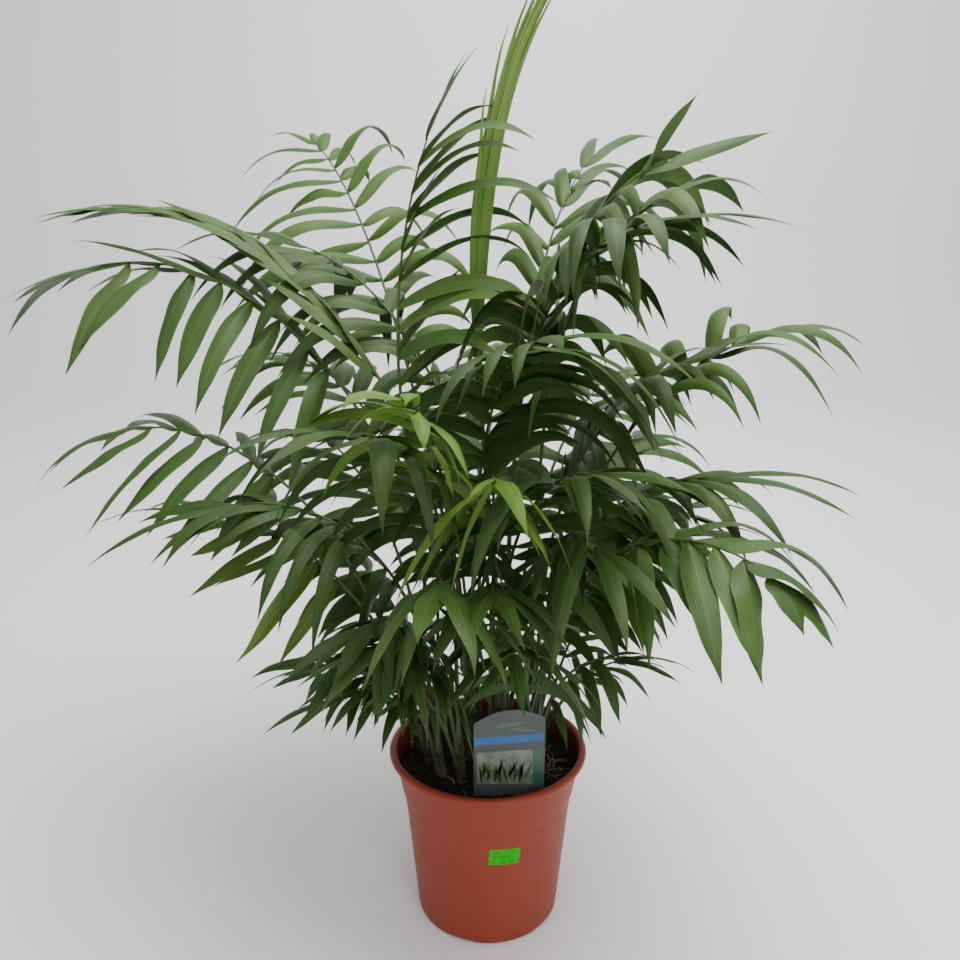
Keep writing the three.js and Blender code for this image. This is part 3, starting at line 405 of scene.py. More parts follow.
class Nodes:
    """A short way to write a node material."""

    def __init__(self, name, roughness, specular):
        self.material = bpy.data.materials.new(name)
        self.material.use_nodes = True
        self.tree = self.material.node_tree
        self.shader = self.tree.nodes["Principled BSDF"]
        self.set({"Roughness": roughness, "Specular IOR Level": specular})

    def set(self, inputs, node=None):
        """Sets inputs of a node or of the shader: sockets are linked, other values filled in."""
        node = node or self.shader
        for key, value in inputs.items():
            if isinstance(value, bpy.types.NodeSocket):
                self.tree.links.new(value, node.inputs[key])
            else:
                node.inputs[key].default_value = value

    def node(self, kind, inputs=None, **settings):
        made = self.tree.nodes.new(kind)
        for key, value in settings.items():
            setattr(made, key, value)
        self.set(inputs or {}, made)
        return made

    def place(self, kind="Object"):
        """The three coordinates of a point of the piece, or of its normal."""
        place = self.node("ShaderNodeTexCoord").outputs[kind]
        return self.node("ShaderNodeSeparateXYZ", {0: place}).outputs

    def leaflet(self):
        """How far a point is across its leaflet, along it and from its middle, and a draw for it."""
        uv = self.node("ShaderNodeUVMap").outputs[0]
        across, along, _ = self.node("ShaderNodeSeparateXYZ", {0: uv}).outputs
        island = self.node("ShaderNodeNewGeometry").outputs["Random Per Island"]
        return across, along, self.math("ABSOLUTE", self.minus(across, 0.5)), island

    def noise(self, scale, detail, stretch=(1, 1, 1), roughness=0.55):
        """Noise in object space, in waves per metre, stretched by axis."""
        place = self.node("ShaderNodeTexCoord").outputs["Object"]
        mapped = self.node("ShaderNodeMapping", {"Vector": place, "Scale": stretch}).outputs[0]
        return self.node("ShaderNodeTexNoise", {
            "Vector": mapped, "Scale": scale, "Detail": detail, "Roughness": roughness}).outputs["Fac"]

    def math(self, operation, a, b=0.0):
        return self.node("ShaderNodeMath", {0: a, 1: b}, operation=operation).outputs[0]

    def plus(self, a, b):
        return self.math("ADD", a, b)

    def minus(self, a, b):
        return self.math("SUBTRACT", a, b)

    def times(self, a, b):
        return self.math("MULTIPLY", a, b)

    def ramp(self, value, low, high):
        """Stretches the range from low to high to 0 to 1."""
        return self.node("ShaderNodeMapRange", {
            "Value": value, "From Min": low, "From Max": high}, clamp=True).outputs["Result"]

    def mix(self, share, *colours):
        a, b = (c if isinstance(c, bpy.types.NodeSocket) else (*c, 1.0) for c in colours)
        return self.node("ShaderNodeMix", {0: share, 6: a, 7: b}, data_type="RGBA").outputs[2]

    def tint(self, colour, where, strength, other):
        """Goes from a colour towards another one, where a mask shows and as far as strength."""
        return self.mix(self.times(where, strength), colour, other)

    def done(self, colour, height, distance, strength, **others):
        """Gives the shader its colour and its bump, and returns the material."""
        bump = self.node("ShaderNodeBump", {
            "Height": height, "Distance": distance, "Strength": strength}).outputs[0]
        self.set({"Base Color": colour, "Normal": bump, **others})
        return self.material

    def translucent(self, weight, radius, scale):
        self.set({"Subsurface Weight": weight, "Subsurface Radius": radius, "Subsurface Scale": scale})


def leaf_material(name, dark, light, rib, old, roughness=0.46):
    """Leaf surface: tone by leaflet and by patch, paler middle vein, fine veins, pale blotches of
    painted sheen, dry tips.
    """
    m = Nodes(name, roughness, 0.27)
    across, along, from_middle, island = m.leaflet()
    patch = m.ramp(m.noise(22.0, 3.0), 0.35, 0.65)
    colour = m.mix(m.plus(m.times(island, 0.6), m.times(patch, 0.4)), dark, light)
    colour = m.tint(colour, m.minus(1.0, m.ramp(from_middle, 0.015, 0.05)), 0.45, rib)
    veins = m.math("SINE", m.times(across, 75.0))
    colour = m.tint(colour, m.plus(veins, 1.0), 0.05, rib)
    # Painted sheen: pale grey-green blotches on some leaflets.
    painted_sheen_blotch = m.times(m.ramp(m.noise(31.0, 4.0), 0.6, 0.74), m.ramp(island, 0.55, 0.9))
    colour = m.tint(colour, painted_sheen_blotch, 0.35, (0.15, 0.17, 0.06))
    if old:
        wear = m.plus(along, m.times(m.minus(patch, 0.5), 0.05))
        is_dry = m.times(m.ramp(wear, 0.93, 0.985), m.ramp(island, 1 - old, 1 - old + 0.1))
        colour = m.mix(is_dry, colour, (0.26, 0.17, 0.06))
    m.translucent(0.12, (0.35, 1.0, 0.15), 0.001)
    relief = m.plus(m.times(veins, 0.3), m.times(m.noise(45.0, 3.0), 1.5))
    sheen = m.plus(m.times(m.noise(60.0, 2.0), 0.14), roughness - 0.07)
    return m.done(colour, relief, 0.00022, 0.8, Roughness=sheen)


# Each tone's dark, light and vein colours, the share of leaflets with dry tips, and roughness.
LEAF_MATERIALS = {tone: leaf_material(f"leaf_{tone}", *values) for tone, values in {
    "deep": ((0.024, 0.066, 0.01), (0.056, 0.12, 0.022), (0.075, 0.145, 0.032), 0.25),
    "mid": ((0.03, 0.078, 0.011), (0.064, 0.13, 0.026), (0.085, 0.16, 0.038), 0.3),
    # The shade and low tones are darker copies of the leaf colour: painted shade for the fronds inside
    # the plant and low under it.
    "shade": ((0.013, 0.042, 0.005), (0.033, 0.08, 0.01), (0.06, 0.12, 0.022), 0.3),
    "low": ((0.015, 0.046, 0.006), (0.038, 0.088, 0.012), (0.07, 0.13, 0.026), 0.35),
    "young": ((0.06, 0.15, 0.012), (0.105, 0.215, 0.026), (0.14, 0.26, 0.05), 0.0, 0.42),
    "yellowing": ((0.045, 0.105, 0.011), (0.105, 0.165, 0.021), (0.19, 0.22, 0.06), 0.75),
}.items()}


def stalk_material():
    m = Nodes("stalk", 0.5, 0.35)
    fibre = m.ramp(m.noise(260.0, 2.0, (1, 1, 0.06)), 0.3, 0.7)
    patch = m.ramp(m.noise(16.0, 2.0), 0.35, 0.65)
    colour = m.mix(fibre, (0.04, 0.075, 0.016), (0.08, 0.125, 0.034))
    colour = m.tint(colour, patch, 0.45, (0.028, 0.055, 0.014))
    # Painted shade: the stalks darken towards the compost, under the fronds.
    low = m.minus(1.0, m.ramp(m.place()[2], 0.15, 0.27))
    return m.done(m.tint(colour, low, 0.8, (0.03, 0.032, 0.015)), fibre, 0.0002, 0.5)


def cane_material():
    m = Nodes("cane", 0.62, 0.4)
    fibre = m.ramp(m.noise(420.0, 4.0, (1, 1, 0.07)), 0.3, 0.7)
    patch = m.ramp(m.noise(38.0, 4.0, (1, 1, 0.5)), 0.36, 0.64)
    colour = m.mix(fibre, (0.045, 0.046, 0.02), (0.11, 0.098, 0.05))
    colour = m.tint(colour, patch, 0.7, (0.03, 0.021, 0.012))
    return m.done(colour, m.plus(fibre, patch), 0.0005, 0.8)


def spear_material():
    """Folded young leaf: greener by strip, with painted shade as a darker green at the strips' edges,
    yellower to its tip.
    """
    m = Nodes("spear_leaf", 0.36, 0.5)
    across, along, from_middle, island = m.leaflet()
    lines = m.math("SINE", m.times(across, 44.0))
    patch = m.ramp(m.noise(18.0, 3.0), 0.35, 0.65)
    colour = m.mix(m.ramp(along, 0.25, 0.95), (0.075, 0.2, 0.018), (0.25, 0.4, 0.06))
    colour = m.tint(colour, patch, 0.3, (0.11, 0.26, 0.026))
    colour = m.tint(colour, island, 0.55, (0.055, 0.16, 0.014))
    # Painted shade: darker green at the strips' edges, where they fold against each other.
    colour = m.tint(colour, m.ramp(from_middle, 0.3, 0.5), 0.6, (0.04, 0.11, 0.012))
    colour = m.tint(colour, m.ramp(lines, 0.2, 1.3), 0.5, (0.3, 0.44, 0.1))
    m.translucent(0.15, (0.5, 1.0, 0.2), 0.0015)
    return m.done(colour, lines, 0.0002, 0.6)


def pot_material():
    """Terracotta plastic: painted shade on its inner wall, dusty at its foot, with a few scratches."""
    m = Nodes("terracotta_plastic", 0.5, 0.33)
    cloud = m.ramp(m.noise(9.0, 4.0), 0.3, 0.7)
    colour = m.mix(cloud, (0.22, 0.028, 0.01), (0.25, 0.036, 0.013))
    x, y, height = m.place()
    normal_x, normal_y, _ = m.place("Normal")
    # Painted shade: the inner wall above the compost is darkened, less so near the lip.
    is_inside = m.math("LESS_THAN", m.plus(m.times(x, normal_x), m.times(y, normal_y)), 0.0)
    inner_wall_painted_shade = m.times(is_inside, m.minus(1.0, m.times(m.ramp(height, 0.146, 0.158), 0.7)))
    colour = m.tint(colour, inner_wall_painted_shade, 0.8, (0.04, 0.016, 0.01))
    dust = m.times(m.minus(1.0, m.ramp(height, 0.0, 0.03)), m.ramp(m.noise(120.0, 5.0), 0.5, 0.75))
    colour = m.tint(colour, dust, 0.35, (0.15, 0.065, 0.04))
    scratch = m.ramp(m.noise(70.0, 2.0, (1, 1, 9)), 0.69, 0.76)
    colour = m.tint(colour, scratch, 0.22, (0.45, 0.17, 0.11))
    grain = m.ramp(m.noise(900.0, 3.0), 0.3, 0.7)
    sheen = m.plus(m.times(m.noise(40.0, 4.0), 0.16), 0.42)
    return m.done(colour, grain, 0.00006, 0.5, Roughness=sheen)


def soil_material(name, dark, light):
    m = Nodes(name, 0.92, 0.2)
    crumb = m.ramp(m.noise(330.0, 6.0, roughness=0.7), 0.35, 0.7)
    fleck = m.ramp(m.noise(900.0, 2.0), 0.68, 0.74)
    colour = m.tint(m.mix(crumb, dark, light), fleck, 0.5, (0.16, 0.11, 0.07))
    return m.done(colour, crumb, 0.0016, 0.9)


def plain_material(name, colour, other, roughness, scale=30.0, specular=0.5):
    """A smooth made surface with a slight clouding."""
    m = Nodes(name, roughness, specular)
    colour = m.mix(m.ramp(m.noise(scale, 3.0), 0.35, 0.65), colour, other)
    return m.done(colour, m.noise(700.0, 2.0), 0.00004, 0.4)


MATERIALS = {
    "stalk": stalk_material(),
    "cane": cane_material(),
    "spear": spear_material(),
    "pot": pot_material(),
    "compost": soil_material("compost_surface", (0.006, 0.004, 0.003), (0.035, 0.021, 0.013)),
    "crumb": soil_material("compost_crumb", (0.01, 0.006, 0.004), (0.06, 0.037, 0.022)),
    **{name.split("_", 1)[1]: plain_material(name, *values) for name, values in {
        "fine_root": ((0.3, 0.21, 0.12), (0.14, 0.09, 0.05), 0.7, 90.0),
        "label_card": ((0.054, 0.065, 0.064), (0.064, 0.076, 0.074), 0.5),
        "label_blue": ((0.012, 0.095, 0.29), (0.016, 0.11, 0.33), 0.36),
        "label_green": ((0.012, 0.105, 0.045), (0.016, 0.125, 0.055), 0.36),
        "label_pale_green": ((0.055, 0.115, 0.085), (0.065, 0.13, 0.1), 0.4),
        "label_panel": ((0.19, 0.21, 0.19), (0.11, 0.13, 0.085), 0.4, 160.0),
        "label_print_green": ((0.03, 0.075, 0.016), (0.075, 0.13, 0.03), 0.4, 300.0),
        "label_print_dark": ((0.01, 0.024, 0.01), (0.022, 0.045, 0.018), 0.4, 300.0),
        "sticker_ink": ((0.006, 0.03, 0.01), (0.008, 0.036, 0.012), 0.55),
    }.items()},
    "sticker": plain_material("sticker_green", (0.004, 0.4, 0.004), (0.006, 0.44, 0.005), 0.7,
                              specular=0.08),
}

# ---- canes ----


def cane_axis(cane):
    lean = math.radians(cane["lean"])
    return level(cane["heading"]) * math.sin(lean) + UP * math.cos(lean)


def cane_point(cane, share):
    foot = np.array([cane["x"], cane["y"], COMPOST["top"]])
    return foot + cane_axis(cane) * cane["height"] * share


def cane_radius(cane, share):
    return cane["radius"] * (CANE["swell"] - CANE["taper"] * np.maximum(share, 0.0))


def make_canes():
    """Each cane is a ringed stem with slightly swollen nodes, from inside the compost to its tip."""
    for index, (name, cane) in enumerate(CANES.items()):
        axis = cane_axis(cane)
        total = CANE["sunk"] + cane["height"] + cane["radius"]
        distance = np.linspace(0, total, 6 * int(total / 4) + 1)
        radius = cane_radius(cane, (distance - CANE["sunk"]) / cane["height"])
        phase = (distance + 7 * draw(index)) / CANE["node_step"]
        near = np.abs(phase - np.round(phase)) * CANE["node_step"]
        node, dip = np.exp(-(near / 1.1) ** 2), np.exp(-((near - 2.2) / 1.2) ** 2)
        radius = radius * (1 + CANE["node"] * node - CANE["dip"] * dip)
        round_end = np.clip((total - distance) / cane["radius"], 0.0, 1.0)
        radius = radius * np.sqrt(round_end * 0.94 + 0.06)
        centre = cane_point(cane, 0) - axis * CANE["sunk"] + axis * distance[:, None]
        wander = np.stack([np.sin(distance / 17 + index), np.cos(distance / 21 + 2 * index)], -1)
        centre[:, :2] += CANE["wander"] * wander * smooth(0, 10, distance)[:, None]
        rings = tube_rings(centre, TO_THE_RIGHT, radius, 20)
        rough = 1 + CANE["rough"] * lattice_noise(rings, 5.0, 3 * index)[..., None]
        shape = Shape()
        shape.tubes(centre[:, None] + (rings - centre[:, None]) * rough)
        piece = shape.piece(f"stem_{name}", MATERIALS["cane"])
        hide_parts(f"cane_{name}")


# ---- ribs ----


def rib_path(start, frond):
    """Points and directions along a rib at even steps, in one upright plane."""
    steps = RIB["steps"]
    forward = level(frond["heading"])
    share = (np.arange(steps) + 0.5) / steps
    angle = np.radians(frond["rise"] + (frond["tip"] - frond["rise"]) * share ** frond["bend"])
    directions = np.cos(angle)[:, None] * forward + np.sin(angle)[:, None] * UP
    points = start + np.vstack([np.zeros(3), np.cumsum(directions * frond["length"] / steps, 0)])
    side = np.array([-forward[1], forward[0], 0.0])
    return {"points": points, "directions": np.vstack([directions, directions[-1]]), "side": side}


def on_path(path, share):
    """Points, directions and upward normals at shares of a rib's length."""
    steps = RIB["steps"]
    share = np.atleast_1d(np.asarray(share, float))
    step = np.minimum((share * steps).astype(int), steps - 1)
    part = (share * steps - step)[:, None]
    point, direction = (path[key][step] * (1 - part) + path[key][step + 1] * part
                        for key in ("points", "directions"))
    direction = unit(direction)
    return point, direction, np.cross(direction, path["side"])


def stalk_foot(frond):
    cane = CANES[frond["cane"]]
    outward = square_to(cane_axis(cane), level(frond.get("foot", frond["heading"])))
    reach = cane_radius(cane, frond["at"]) + CLEARANCE + RIB["foot"] / 2
    return cane_point(cane, frond["at"]) + outward * reach


# ---- leaflets ----

ACROSS = np.array([-1, -0.62, -0.26, 0, 0.26, 0.62, 1])
ALONG = np.linspace(0, 1, BLADE["rows"]) ** 0.92
EDGES = (0, len(ACROSS) - 1)


def blade_rings(top, under):
    """Rings of a thin closed blade from its upper side and its under side, which share edges."""
    return np.concatenate([top, under[..., -2:0:-1, :]], -2)


def blade_uv(along):
    u = np.concatenate([ACROSS, ACROSS[-2:0:-1]]) / 2 + 0.5
    return np.stack(np.broadcast_arrays(u, along[:, None]), -1)


def leaflets_of(path, frond, seed):
    """Where each leaflet of a frond starts, how it points and how long it is, as one dict each."""
    rows = []
    blade = 1 - LEAFLET["root"] / 2 / frond["length"] - frond["bare"]
    for pair in range(frond["pairs"]):
        share = frond["bare"] + blade * (pair + 0.3) / (frond["pairs"] - 0.7)
        is_end = pair == frond["pairs"] - 1
        place = (share - frond["bare"]) / (1 - frond["bare"])
        for hand in (1, -1):
            own = frond if hand > 0 else {**frond, **frond.get("right", {})}
            bold, odd, long, wild = (draw(seed + 4 * pair + hand + k / 4) for k in range(4))
            shift = 0 if is_end else (odd - 0.5) * LEAFLET["shift"] * blade / frond["pairs"]
            point, direction, normal = (v[0] for v in on_path(path, share + shift))
            fullness = math.sin(math.pi * (0.12 + 0.72 * place))
            size = LEAFLET["least_size"] + (1 - LEAFLET["least_size"]) * fullness
            first, last = own["spread"]
            spread = first + (last - first) * place + LEAFLET["spread_range"] * (bold - 0.5)
            spread += LEAFLET["loose_spread"] * own["loose"] * (wild - 0.5)
            lift = own["lift"] + LEAFLET["lift_range"] * long
            droop, roll = own["droop"], own.get("roll", 0)
            if is_end:
                end = {**LEAFLET["end"], **own.get("end", {})}
                spread, lift, droop = end["spread"], end["lift"], end["droop"]
                size, roll = size * end["size"], end.get("roll", roll)
            loose = 1 + own["loose"] * (wild - 0.5)
            rows.append({
                "hand": hand, "root": point, "direction": direction, "normal": normal,
                "side": path["side"] * hand, "spread": math.radians(spread),
                "lift": math.radians(lift), "odd": odd,
                "length": own["leaflet"] * size * (0.9 + 0.2 * long) * loose,
                "width": own["width"] * (0.86 + 0.32 * odd) * (0.8 + 0.2 * size),
                "droop": droop * (0.5 + 0.7 * bold + 0.35 * wild),
                "roll": math.radians(LEAFLET["roll_range"] * (odd - 0.5) + roll),
            })
    return rows


def leaflet_rings(leaves):
    """Rings of the closed blades of a list of leaflets, as (leaflets, rows, 12, 3)."""
    def column(key):
        return np.array([leaf[key] for leaf in leaves], float)

    direction, side, normal = (column(key) for key in ("direction", "side", "normal"))
    hand, spread, lift, length, width, droop, odd, roll = (column(key)[:, None] for key in (
        "hand", "spread", "lift", "length", "width", "droop", "odd", "roll"))
    outward = side * np.cos(lift) + normal * np.sin(lift)
    start = unit(direction * np.cos(spread) + outward * np.sin(spread))
    across = square_to(start, direction * np.sin(spread) - side * np.cos(spread)) * hand
    v = ALONG
    points, forwards, edges = [column("root")], [start], [across]
    for row in range(1, len(v)):
        middle = (v[row] + v[row - 1]) / 2
        curl = BLADE["curl"] * (odd - 0.35) * smooth(0.7, 1.0, middle)
        sweep = BLADE["sweep"] * middle ** 1.5
        forward = start - UP * droop * middle ** LEAFLET["bend_power"]
        forward = unit(forward + direction * sweep + across * hand * curl)
        across = square_to(forward, across)
        points.append(points[-1] + forward * length * (v[row] - v[row - 1]))
        forwards.append(forward)
        edges.append(across)
    centre, forward, edge = (np.stack(steps, 1) for steps in (points, forwards, edges))
    up = np.cross(edge, forward)
    turn = (roll * smooth(0.0, 0.5, v)[None])[..., None]
    edge, up = edge * np.cos(turn) + up * np.sin(turn), up * np.cos(turn) - edge * np.sin(turn)
    profile = v ** 0.5 * (1 - v) ** 0.9 / 0.803 * (1 - 0.38 * smooth(0.74, 0.97, v))
    is_tip = v > 0.999
    least = np.maximum(1.5 * (1 - v / 0.08), 0.28 * ~is_tip)
    half = np.where(is_tip, BLADE["tip"], np.maximum(width * profile, least))[..., None]
    v = v[None, :, None]
    u = ACROSS[None, None]
    fold = 0.42 * (1 - smooth(0.0, 0.35, v)) + 0.1 + 0.12 * smooth(0.7, 1, v)
    phase = 2 * np.pi * (BLADE["waves"] * v + odd[..., None]) + 2.2 * u
    wave = BLADE["wave"] * np.sin(phase) * u ** 2
    rise = -half * (fold * np.abs(u) + BLADE["arch"] * u ** 2) + half * wave
    rise = rise - BLADE["groove"] * (u == 0)
    thick = BLADE["thickness"] * np.sqrt(np.clip(1 - u ** 2, 0, 1)) * np.minimum(half / 2.5, 1)
    rib = BLADE["rib"] * (u == 0) * (1 - 0.8 * v) * np.minimum(half / 2, 1)
    edge, up = edge[:, :, None], up[:, :, None]
    top = centre[:, :, None] + edge * (half * u)[..., None] + up * rise[..., None]
    return blade_rings(top, top - up * (thick + rib)[..., None])


def add_stalk(shape, path, frond, cane=None):
    """A round stalk and rib; on a cane, its foot widens into a sheath round the cane."""
    share = np.concatenate([np.linspace(0, 0.12, 7)[:-1], np.linspace(0.12, 1, 34)])
    points = on_path(path, share)[0]
    radii = RIB["thinnest"] + (RIB["foot"] + 0.15 - RIB["thinnest"]) * (1 - share) ** 0.8
    if cane is not None:
        length = min(24.0, frond["at"] * cane["height"] * 0.8)
        down = np.linspace(length, 4.0, 5)[:, None]
        middle = cane_point(cane, frond["at"])
        reach = smooth(length, 0, down)
        sheath = middle - cane_axis(cane) * down + (points[0] - middle) * 0.35 * reach
        points = np.vstack([sheath, points])
        radii = np.append(cane_radius(cane, frond["at"]) + 0.9 - 1.3 * reach[:, 0] ** 2, radii)
        radii[5:8] += (2.0, 1.1, 0.4)
    shape.tubes(tube_rings(points, path["side"], radii, 10))


def tuft_fronds(seedling):
    return [dict(
        TUFT, heading=seedling["heading"] + (k - (seedling["fronds"] - 1) / 2) * TUFT["fan"],
        length=seedling["length"] * (0.85 + 0.3 * draw(seedling["x"] + k)),
        rise=TUFT["rise"] + TUFT["rise_range"] * draw(seedling["y"] + k))
        for k in range(seedling["fronds"])]


def make_fronds():
    """Ribs of every frond in one piece, and its leaflets in one piece for each tone."""
    leaves = {tone: [] for tone in LEAF_MATERIALS}
    nodes = {tone: [] for tone in LEAF_MATERIALS}
    stalks = Shape()
    for index, (name, frond) in enumerate(FRONDS.items()):
        path = rib_path(stalk_foot(frond), frond)
        add_stalk(stalks, path, frond, CANES[frond["cane"]])
        leaves[frond["tone"]] += leaflets_of(path, frond, 100 * index)
        nodes[frond["tone"]].append(f"frond_{name}")
    above = TUFT["crown_height"] - TUFT["sunk"]
    for name, seedling in SEEDLINGS.items():
        foot = np.array([seedling["x"], seedling["y"], COMPOST["top"] + above])
        for k, frond in enumerate(tuft_fronds(seedling)):
            path = rib_path(foot, frond)
            add_stalk(stalks, path, frond)
            leaves[frond["tone"]] += leaflets_of(path, frond, 1000 + 100 * k + seedling["x"])
        nodes["deep"].append(f"seedling_{name}")
        crown = foot + UP * np.linspace(-above - CANE["sunk"], 5, 9)[:, None]
        radius = np.array([3.4, 3.5, 3.6, 3.5, 3.3, 3.1, 2.9, 2.4, 1.2])
        stalks.tubes(tube_rings(crown, TO_THE_RIGHT, radius, 12))
    ribs = stalks.piece("ribs_and_stalks", MATERIALS["stalk"])
    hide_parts(*(node for group in nodes.values() for node in group))
    for tone, group in leaves.items():
        shape = Shape()
        shape.tubes(leaflet_rings(group), blade_uv(ALONG), rims=EDGES)
        piece = shape.piece(f"leaflets_{tone}", LEAF_MATERIALS[tone])
        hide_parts(*nodes[tone])


# ---- the folded leaf ----

# Strips of the folded leaf: how far left of its middle each lies, where it starts and ends along
# the leaf, its width, how far it lies to the back, and how far its tip stands off to the left.
STRIPS = [
    (7.2, 0.42, 0.78, 4.6, -2.2, 6.5),
    (5.6, 0.38, 0.86, 5.2, 1.6, 7.0),
    (4.0, 0.4, 0.92, 5.6, -1.2, 4.5),
    (2.3, 0.36, 0.96, 6.2, 2.2, 2.0),
    (0.4, 0.38, 0.985, 6.6, 0.0, 0.5),
    (-1.6, 0.36, 1.0, 6.2, -2.0, 0.0),
    (-3.5, 0.38, 0.985, 5.8, 1.4, -0.8),
    (-5.3, 0.42, 0.94, 4.8, -1.2, -1.5),
]


def make_spear():
    """The folded leaf: strips of leaflets still lying side by side, each with its own fold."""
    path = rib_path(stalk_foot(SPEAR), SPEAR)
    stalk = Shape()
    share = np.linspace(0, 0.7, 40)
    rings = tube_rings(on_path(path, share)[0], path["side"], 2.6 - 1.4 * share / 0.7, 12)
    stalk.tubes(rings)
    base = stalk.piece("folded_leaf_stalk", MATERIALS["spear"])
    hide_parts("spear")
    shape = Shape()
    v = np.linspace(0, 1, 48)
    u = ACROSS[None]
    for offset, start, end, width, depth, splay in STRIPS:
        at = start + (end - start) * v
        point, _, normal = on_path(path, at)
        spread = 0.45 + 0.55 * smooth(0.42, 0.66, at)
        aside = offset * spread + splay * smooth(0.6, 1.0, v) ** 2
        centre = point + normal * aside[:, None] + path["side"] * (depth * spread)[:, None]
        half = width / 2 * (0.35 + 0.65 * smooth(0, 0.25, v)) * (1 - v ** 3.2) ** 0.9 + 0.15
        half = half[:, None]
        pleat = 0.42 * half * (1 - np.abs(u)) + 0.3 * np.cos(3 * np.pi * u)
        thick = 1.0 + 0.5 * (1 - np.abs(u)) * np.minimum(half / 2, 1)
        top = centre[:, None] + normal[:, None] * (half * u)[..., None] \
            - path["side"] * (pleat + 0.5)[..., None]
        under = top + path["side"] * thick[..., None]
        shape.tubes(blade_rings(top, under), blade_uv(v), rims=(*EDGES, 3))
    piece = shape.piece("folded_leaf", MATERIALS["spear"])
    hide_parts("spear")


# ---- pot ----

LEDGE = POT["height"] - POT["collar"]
UNDER_LIP = POT["height"] - POT["lip"]


def outer_wall(height):
    """The pot's outer radius at a height, below its lip."""
    if height <= LEDGE:
        return POT["foot"] + (POT["ledge"] - POT["foot"]) * height / LEDGE
    share = (height - LEDGE) / (UNDER_LIP - LEDGE)
    return POT["ledge"] + POT["step"] + (POT["rim"] - POT["overhang"] - POT["ledge"]) * share


def make_pot():
    """Tapered pot with a rolled lip, a collar over a soft ledge, a faint ridge and foot notches."""
    rim, top, foot, inner = POT["rim"], POT["height"], POT["foot"], POT["wall"]

    def wall(*heights, shift=0.0):
        return [(outer_wall(z) + shift, z) for z in heights]

    profile = [(0.0, 0.0), (20.0, 0.0), (40.0, 0.0), (foot - 10.0, 0.0), (foot - 8.0, 0.0),
               (foot - 4.0, 0.0), (foot - 2.4, 0.15), (foot - 1.1, 0.8), (foot - 0.2, 2.0)]
    profile += wall(3.4)
    underside = len(profile) + 2
    profile += wall(*np.linspace(6, 106, 26))
    profile += wall(107, shift=0.1) + wall(108.5, shift=0.35) + wall(110, shift=0.1)
    profile += wall(112, 115, LEDGE - 2)
    profile += [(outer_wall(LEDGE - 2) + 0.5, LEDGE - 0.9), (outer_wall(LEDGE + 1) - 0.5, LEDGE + 0.4)]
    profile += wall(LEDGE + 1.8, *np.linspace(LEDGE + 4, UNDER_LIP - 2.5, 8))
    lip_foot = outer_wall(UNDER_LIP)
    profile += [(lip_foot + 0.4, UNDER_LIP - 0.9), (lip_foot + 1.8, UNDER_LIP - 0.2),
                (rim - 3.4, UNDER_LIP + 0.1)]
    radius = POT["lip"] / 2 - 0.1
    for a in np.radians(np.linspace(-70, 110, 12)):
        profile.append((rim - radius + radius * math.cos(a), top - radius + radius * math.sin(a)))
    profile += [(rim - 5.6, top - 0.5), (lip_foot - inner + 0.2, UNDER_LIP + 3.2),
                (lip_foot - inner, UNDER_LIP - 1)]
    profile += wall(145, 138, LEDGE + 3, LEDGE - 2, 60, 10, 5, shift=-inner)
    profile += [(outer_wall(3) - inner - 1.5, POT["floor"]), (30.0, POT["floor"]), (0.0, POT["floor"])]
    profile = np.array(profile)
    angle = full_turn(POT["sides"])
    points = turned(profile[:, :1], angle, profile[:, 1:])
    half_notch = math.degrees(POT["notch_width"] / 2 / foot)
    for notch in range(POT["notches"]):
        heading = POT["first_notch"] + 360 * notch / POT["notches"]
        away = np.abs((np.degrees(angle) - heading + 180) % 360 - 180)
        inside = (away < half_notch) & (profile[:underside, :1] > foot - POT["notch_depth"])
        heights = points[:underside, :, 2]
        heights[inside & (heights < POT["notch_height"])] = POT["notch_height"]
    shape = Shape()
    shape.sheet(points, closed=True)
    piece = shape.piece("plant_pot", MATERIALS["pot"])
    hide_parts("pot")


# ---- compost ----


